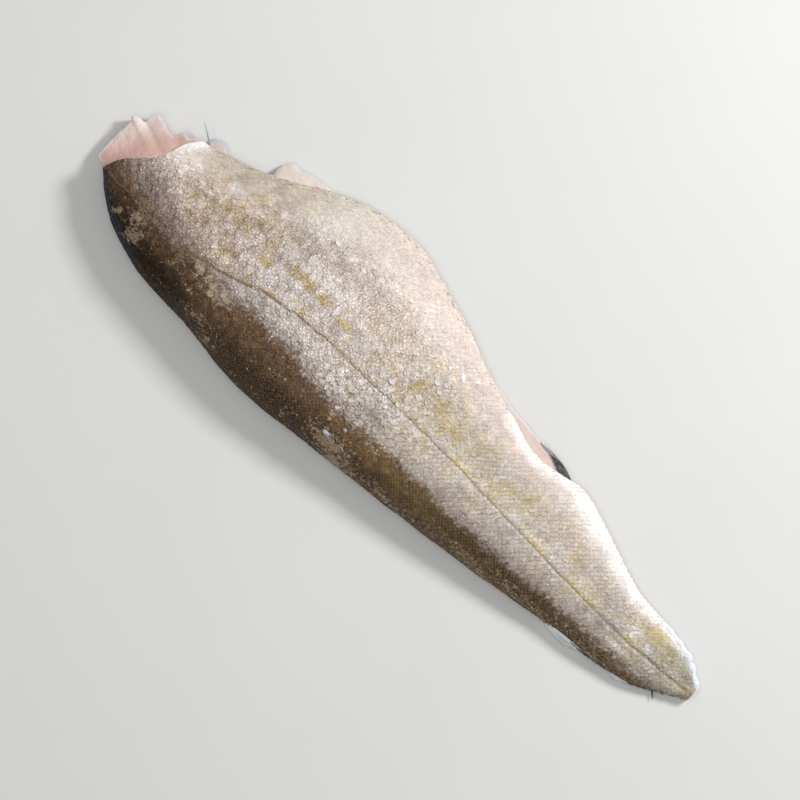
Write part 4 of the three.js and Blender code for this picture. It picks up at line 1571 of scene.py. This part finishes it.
LINING_WIDTH = [(0, 0.1), (0.33, 1.2), (0.72, 2.9), (1, 0.1)]  # share of its length, width
LINING_PART = (0.62, 1.0)  # part of the long belly flap's lip that the lining covers
LINING_HEIGHT, LINING_LIP, LINING_THICK = 2.45, 2.25, 0.3  # height inside and at the lip, thickness
FILM_LOW, FILM_RISE, FILM_THICK = 0.8, 0.45, 0.35  # height outside, height over the skin, thickness
BACK_FILMS = [  # name, outer edge, reach over the skin
    ("back_film", [(90.5, -23.6), (95, -24.6), (100, -25), (105, -24.2), (111.5, -21.6)], 1.0),
    ("tail_film", [(121, -19.9), (125, -20.5), (129, -19.2), (131.5, -17.2)], 0.4),
]


def edge_sheet(name, start, end, start_height, end_height, thick):
    """A thin wavy sheet between two lines in plan, facing up. Heights are single or one for each place."""
    across = np.linspace(0, 1, 12)[None, :, None]
    plan = lerp(start[:, None, :], end[:, None, :], across)
    first, last = (np.broadcast_to(height, len(start))[:, None] for height in (start_height, end_height))
    points = np.concatenate([plan, lerp(first, last, across[..., 0])[..., None]], -1)
    points[..., 2] += 0.25 * ripple(points, 3, 31)
    return mesh_piece(name, *shell(points, points - (0, 0, thick)))


def make_membranes(context):
    """Makes the dark lining along the long belly flap and the white films of the back edge."""
    colours = context.scene.fillet.flesh
    share = np.linspace(0, 1, 90)
    long_flap = EDGE_FLAPS[-1][-1]
    lip = plan_line(long_flap, FLAP_TENSION, lerp(*LINING_PART, share))
    width = smooth_rows(LINING_WIDTH)(share)
    inner = lip - np.stack([-0.2 * width, width], 1)
    height = LINING_HEIGHT + 0.2 * width
    lining = edge_sheet("belly_lining", inner, lip + (0, 0.2), height, LINING_LIP, LINING_THICK)
    streaks = (colours.lining, colours.lining_streak, colours.flap)
    dress(lining, membrane_finish("belly_lining", *streaks, 0.62, (44, 53)))
    finish = membrane_finish("back_film", colours.film_shade, colours.film, colours.film, 0.45, (92, 100))
    for name, outer_edge, reach in BACK_FILMS:
        lip = plan_line(outer_edge, 0.5, share)
        inner = np.stack([lip[:, 0], back_edge(lip[:, 0]) + reach * np.sin(np.pi * share) ** 0.5], 1)
        film = edge_sheet(name, lip, inner, FILM_LOW, skin_top(inner) + FILM_RISE, FILM_THICK)
        dress(film, finish)


NEEDLE_SIDES = 12
BONE_TIP, RAY_TIP = (0.34, 0.4, 0.45), (0.02, 0.02, 0.025)  # second colours of the bone and the ray
PIN_BONE = {
    "start": (-120.8, 12.4, 2.5), "end": (-130, 18.4, 5.3), "bend": (0, 0.25, 0.3),
    "radius": 0.33, "loss": 0.75, "late": 2,
}
FIN_RAY = {
    "start": (135.8, -11.6, 1.6), "end": (141.6, -16, 1.4), "bend": (0.2, 0.2, 0),
    "radius": 0.52, "loss": 0.85, "late": 1.6,
}


def needle(path, radii):
    """Points and faces of a round tapering solid along a path."""
    ahead = unit(np.gradient(path, axis=0))
    side = unit(np.cross(ahead, (0, 0, 1)))
    up = np.cross(side, ahead)
    turn = np.linspace(0, 2 * np.pi, NEEDLE_SIDES, endpoint=False)
    ring = np.cos(turn)[None, :, None] * side[:, None] - np.sin(turn)[None, :, None] * up[:, None]
    return loft(path[:, None] + ring * np.array(radii)[:, None, None])


def bent_needle(start, end, bend, radius, loss, late):
    """Points and faces of a bent needle that loses a share of its radius, mostly late on the way."""
    share = np.linspace(0, 1, 14)
    path = lerp(np.array(start), np.array(end), share[:, None]) + np.sin(np.pi * share)[:, None] * bend
    return needle(path, radius * (1 - loss * share**late))


def make_bones(context):
    """Makes the pin bone and the fin ray."""
    colours = context.scene.fillet.flesh
    bone = mesh_piece("pin_bone_needle", *bent_needle(**PIN_BONE))
    dress(bone, bone_finish("pin_bone", colours.bone, BONE_TIP), "pin_bone")
    ray = mesh_piece("fin_ray_spine", *bent_needle(**FIN_RAY))
    dress(ray, bone_finish("fin_ray", colours.ray, RAY_TIP), "fin_ray")


FROST_WHITE = (0.95, 0.97, 1.0)
GLAZE_BLUE = (0.75, 0.85, 0.95)
LUMP_GREY, LUMP_CLOUD = (0.3, 0.31, 0.34), (0.5, 0.52, 0.56)
FLAKE_WHITE = (0.85, 0.86, 0.88)
GRAIN_WHITE = (0.9, 0.93, 0.97)
GLAZE_START = 121  # x where the ice along the belly edge of the tail begins
GLAZE_TIP = [(151.0, -3.4), (150.6, -6.8)]  # x, y of its way round the tail's end
GLAZE_REACH, GLAZE_RIPPLE, GLAZE_LEAST = 1.3, 0.6, 0.05  # radius, its change, and least radius at the ends
GLAZE_INSET = 0.85  # how far inside the edge its middle lies
ICE_LUMPS = [  # x, y, radius
    (-15.6, -31.3, 1.5), (-13.9, -32.2, 0.6), (-11.3, -25.8, 0.75), (-46.9, -23, 0.4),
]
FROST_FLAKES = [  # x, y, radius
    (0, 18.4, 0.7), (-2.6, 19.4, 0.4), (6.1, 19.2, 1.1), (5, 20, 0.6), (7.2, 18.4, 0.6), (11.4, 21.8, 0.9),
    (10.6, 21.2, 0.5), (-13, 20.5, 0.5), (1.5, 20.6, 0.35),
]


def ice_lump(x, y, radius):
    """Points and faces of one flat, uneven lump of ice lying on the skin."""
    along = np.cos(np.linspace(np.pi, 0, 9))
    path = np.outer(along, (radius, 0, 0)) + (x, y, 0)
    points, faces = needle(path, radius * np.sqrt(np.maximum(1 - along**2, 0.002)))
    uneven = 1 + 0.35 * ripple(points, radius, 43)[:, None]
    middle = np.array((x, y, 0))
    points = middle + (points - middle) * uneven * (1, 0.85, 0.5)
    return points + (0, 0, skin_top([(x, y)])[0] + 0.1), faces


def tail_glaze():
    """Points and faces of an uneven bead of ice along the belly edge of the tail and round its end."""
    share = np.linspace(0, 1, 120)
    belly_x = np.linspace(GLAZE_START, BELLY_EDGE[-1][0], 11)
    edge = np.vstack([np.stack([belly_x, belly_edge(belly_x)], 1), GLAZE_TIP])
    line = plan_line(edge, 0.5, share)
    ahead = unit(np.gradient(line, axis=0))
    out = np.stack([-ahead[:, 1], ahead[:, 0]], 1)
    ends = np.sin(np.pi * share) ** 0.4
    spots = np.concatenate([line, np.zeros((len(line), 1))], 1)
    reach = (GLAZE_REACH + GLAZE_RIPPLE * ripple(spots, 4, 41)) * ends + GLAZE_LEAST
    turn = np.linspace(0, 2 * np.pi, 12, endpoint=False)
    sideways = (1.15 * np.cos(turn))[None, :] * reach[:, None] - GLAZE_INSET
    upward = (1.2 * np.sin(turn))[None, :] * reach[:, None]
    middle = 0.55 * belly_wall(line[:, 0])[:, None]
    plan = line[:, None, :] + out[:, None, :] * sideways[..., None]
    high = np.maximum(middle + upward, 0.15)
    return loft(np.concatenate([plan, high[..., None]], -1))


def make_ice(context):
    """Makes the ice along the tail, the lumps of ice on the back and the frost flakes on the belly."""
    glaze = mesh_piece("tail_glaze", *tail_glaze())
    dress(glaze, ice_finish("tail_glaze", GLAZE_BLUE, FROST_WHITE, 0.5))
    lumps = mesh_piece("ice_lumps", *join_solids([ice_lump(*lump) for lump in ICE_LUMPS]))
    dress(lumps, ice_finish("ice_lumps", LUMP_GREY, LUMP_CLOUD, 0.25))
    flakes = mesh_piece("frost_flakes", *join_solids([ice_lump(*flake) for flake in FROST_FLAKES]))
    dress(flakes, ice_finish("frost_flakes", FLAKE_WHITE, FROST_WHITE, 0.05))


# Crumbs and frost

FROST_SPOTS = [  # x, y, half size, strength
    (-13, 20, 1.2, 0.4), (5, 19, 2.5, 0.2), (-3, 22, 1.5, 0.2), (20, 23, 2.5, 0.1),
]
CRUMB_SPOTS = [  # x, y, half length, half width, strength
    (-14, -34, 13, 4.5, 0.8), (-6, -30, 10, 5, 0.7), (-18, -27, 6, 4, 0.6), (-47, -30, 4, 1.5, 0.6),
    (8, -34, 10, 3, 0.6), (-52, -41, 10, 1.8, 0.5), (-58, -32, 15, 5, 0.3), (-35, -38.5, 12, 2.5, 0.5),
    (-75, -37, 7, 3, 0.4), (-120, -27, 5, 4, 0.35),
    (-25, -21.5, 16, 1.6, 0.3), (30, -32, 14, 2, 0.4), (60, -27, 20, 2, 0.35), (90, -22, 18, 2, 0.3),
]
CRUMB_FORM, FROST_FORM = (1, 0.75, 0.4), (1, 0.9, 0.8)  # length, width and height of a grain
CRUMB_SEED, FROST_SEED = 3, 4


def grain_shape(name, form, seed):
    """One small lump: a closed, flattened shape of a few faces, made uneven."""
    bpy.ops.mesh.primitive_ico_sphere_add(subdivisions=1, radius=1)
    grain = bpy.context.object
    grain.name = name
    draw = np.random.default_rng(seed)
    mesh = grain.data
    points = coordinates(mesh) * MM * draw.uniform(0.75, 1.2, (len(mesh.vertices), 1))
    set_coordinates(mesh, points * form)
    mesh.shade_smooth()
    return grain


def strew(name, grain, field, values):
    """Makes a piece of grains strewn over the skin, as thick as a field of its points says."""
    points = skin_surface()[0]
    piece = mesh_piece(name, points.reshape(-1, 3), strip_faces(*points.shape[:2]))
    store(piece.data, "amount", field(coordinates(piece.data)))
    strew_tree().use_on(piece, {"Grain": grain, **values})
    plain_mesh(piece)
    discard(grain)
    keep_off_floor(piece.data)
    dress(piece)


FROST_EVERYWHERE = 0.0005  # share of the frost that lies between the spots
CRUMB_LEAST = 0.12  # strength below which a spot has no crumbs


def frost_field(points):
    """How thick the frost lies at each point."""
    field = np.full(len(points), FROST_EVERYWHERE)
    for x, y, size, strength in FROST_SPOTS:
        field += strength * np.exp(-((points[:, 0] - x) ** 2 + (points[:, 1] - y) ** 2) / size**2)
    return field


def crumb_field(points):
    """How thick the crumbs of scale lie at each point."""
    return np.maximum(spots_field(points, CRUMB_SPOTS, 2.5, 13) - CRUMB_LEAST, 0)


def make_crumbs(context):
    """Strews crumbs of loose scale over the back."""
    settings = context.scene.fillet
    strew("scale_crumbs", grain_shape("crumb_grain", CRUMB_FORM, CRUMB_SEED), crumb_field, {
        "Grains per square metre": 4.5e5,
        "Least size": 0.2,
        "Greatest size": 0.6,
        "Seed": settings.sizes.seed,
        "Material": crumb_finish(settings.skin),
    })


def make_frost(context):
    """Strews frost grains over the skin."""
    settings = context.scene.fillet
    strew("frost", grain_shape("frost_grain", FROST_FORM, FROST_SEED), frost_field, {
        "Grains per square metre": 2.2e6,
        "Least size": 0.12,
        "Greatest size": 0.4,
        "Seed": settings.sizes.seed + 1,
        "Material": ice_finish("frost", GRAIN_WHITE, FROST_WHITE, 0.2),
    })


# Stage

PICTURE_MIDDLE = (-4.77, -3.31)  # point of the floor in the middle of the picture
PICTURE_TURN = 45  # degrees from the fillet's length to the picture's side
FLOOR_HALF = 4000  # half the side of the floor
KEY_PLACE, KEY_SIZE = (0.25, 0.75, 0.62), 0.2  # in metres
FILL_PLACE, FILL_SIZE = (-0.2, -0.2, 1.2), 1.0  # in metres
ROOM_LIGHT = 0.38  # strength of the white light from all sides
SENSOR_WIDTH = 36


def area_light(name, place, size, power):
    """A square light that shines on the fillet's middle, with its place and size in metres."""
    data = bpy.data.lights.new(name, "AREA")
    data.size = size
    data.energy = power
    light = bpy.data.objects.new(name, data)
    light.location = place
    light.rotation_euler = (-Vector(place)).to_track_quat("-Z", "Y").to_euler()
    bpy.context.collection.objects.link(light)


def make_stage(context):
    """Sets up the floor, the lights, the room and the camera."""
    settings = context.scene.fillet.stage
    square = np.array([(-1, -1, 0), (1, -1, 0), (1, 1, 0), (-1, 1, 0)]) * FLOOR_HALF
    floor = mesh_piece("floor", square, [(0, 1, 2, 3)], smooth=False)
    floor.data.materials.append(floor_finish(settings.floor))
    area_light("key", KEY_PLACE, KEY_SIZE, settings.key)
    area_light("fill", FILL_PLACE, FILL_SIZE, settings.fill)
    world = bpy.data.worlds.new("soft_room")
    world.use_nodes = True
    room = world.node_tree.nodes["Background"].inputs
    room["Color"].default_value = (1, 1, 1, 1)
    room["Strength"].default_value = ROOM_LIGHT
    context.scene.world = world
    lens = bpy.data.cameras.new("camera")
    lens.sensor_width = SENSOR_WIDTH
    lens.lens = lens.sensor_width * settings.camera_height / settings.frame_width
    camera = bpy.data.objects.new("camera", lens)
    camera.location = (PICTURE_MIDDLE[0] * MM, PICTURE_MIDDLE[1] * MM, settings.camera_height)
    camera.rotation_euler = (0, 0, np.radians(PICTURE_TURN))
    context.collection.objects.link(camera)
    context.scene.camera = camera
    context.scene.view_settings.view_transform = "Standard"


# Operators and panel

class FilletStep:
    """What the operators share: each makes its pieces and tells that it is done."""

    bl_options = {"REGISTER", "UNDO"}

    def execute(self, context):
        type(self).make(context)
        return {"FINISHED"}


class FILLET_OT_flesh(FilletStep, bpy.types.Operator):
    """Make the flesh with its flakes, torn head end and belly flaps"""

    bl_idname = "fillet.flesh"
    bl_label = "Flesh"
    make = staticmethod(make_flesh)


class FILLET_OT_skin(FilletStep, bpy.types.Operator):
    """Make the skin with its lateral line"""

    bl_idname = "fillet.skin"
    bl_label = "Skin"
    make = staticmethod(make_skin)


class FILLET_OT_scales(FilletStep, bpy.types.Operator):
    """Cover the skin with scales"""

    bl_idname = "fillet.scales"
    bl_label = "Scales"
    make = staticmethod(make_scales)


class FILLET_OT_membranes(FilletStep, bpy.types.Operator):
    """Make the dark belly lining and the white films of the back edge"""

    bl_idname = "fillet.membranes"
    bl_label = "Membranes"
    make = staticmethod(make_membranes)


class FILLET_OT_bones(FilletStep, bpy.types.Operator):
    """Make the pin bone and the fin ray"""

    bl_idname = "fillet.bones"
    bl_label = "Bones"
    make = staticmethod(make_bones)


class FILLET_OT_ice(FilletStep, bpy.types.Operator):
    """Make the ice along the tail, the lumps on the back and the flakes on the belly"""

    bl_idname = "fillet.ice"
    bl_label = "Ice"
    make = staticmethod(make_ice)


class FILLET_OT_crumbs(FilletStep, bpy.types.Operator):
    """Strew crumbs of loose scale over the back"""

    bl_idname = "fillet.crumbs"
    bl_label = "Crumbs"
    make = staticmethod(make_crumbs)


class FILLET_OT_frost(FilletStep, bpy.types.Operator):
    """Strew frost grains over the skin"""

    bl_idname = "fillet.frost"
    bl_label = "Frost"
    make = staticmethod(make_frost)


class FILLET_OT_stage(FilletStep, bpy.types.Operator):
    """Set up the floor, the lights and the camera"""

    bl_idname = "fillet.stage"
    bl_label = "Stage"
    make = staticmethod(make_stage)


STEPS = (
    FILLET_OT_flesh, FILLET_OT_skin, FILLET_OT_scales, FILLET_OT_membranes, FILLET_OT_bones, FILLET_OT_ice,
    FILLET_OT_crumbs, FILLET_OT_frost, FILLET_OT_stage,
)


class FILLET_PT_panel(bpy.types.Panel):
    """Lists the steps that make the fillet and the settings that they read."""

    bl_label = "Frozen fillet"
    bl_idname = "FILLET_PT_panel"
    bl_space_type = "VIEW_3D"
    bl_region_type = "UI"
    bl_category = "Fillet"

    def draw(self, context):
        for step in STEPS:
            self.layout.operator(step.bl_idname)
        settings = context.scene.fillet
        for group in (settings.sizes, settings.skin, settings.flesh, settings.stage):
            box = self.layout.box()
            for name in group.bl_rna.properties.keys():
                if name not in ("rna_type", "name"):
                    box.prop(group, name)


CLASSES = (SkinColours, FleshColours, FilletSizes, StageSettings, FilletSettings, *STEPS, FILLET_PT_panel)


def register():
    """Makes the classes and the fillet's settings known."""
    for item in CLASSES:
        bpy.utils.register_class(item)
    bpy.types.Scene.fillet = bpy.props.PointerProperty(type=FilletSettings)


def unregister():
    """Takes them out again."""
    del bpy.types.Scene.fillet
    for item in reversed(CLASSES):
        bpy.utils.unregister_class(item)


def main():
    """Makes every piece and the stage."""
    register()
    bpy.ops.fillet.flesh()
    bpy.ops.fillet.skin()
    bpy.ops.fillet.scales()
    bpy.ops.fillet.membranes()
    bpy.ops.fillet.bones()
    bpy.ops.fillet.ice()
    bpy.ops.fillet.crumbs()
    bpy.ops.fillet.frost()
    bpy.ops.fillet.stage()


if __name__ == "__main__":
    main()
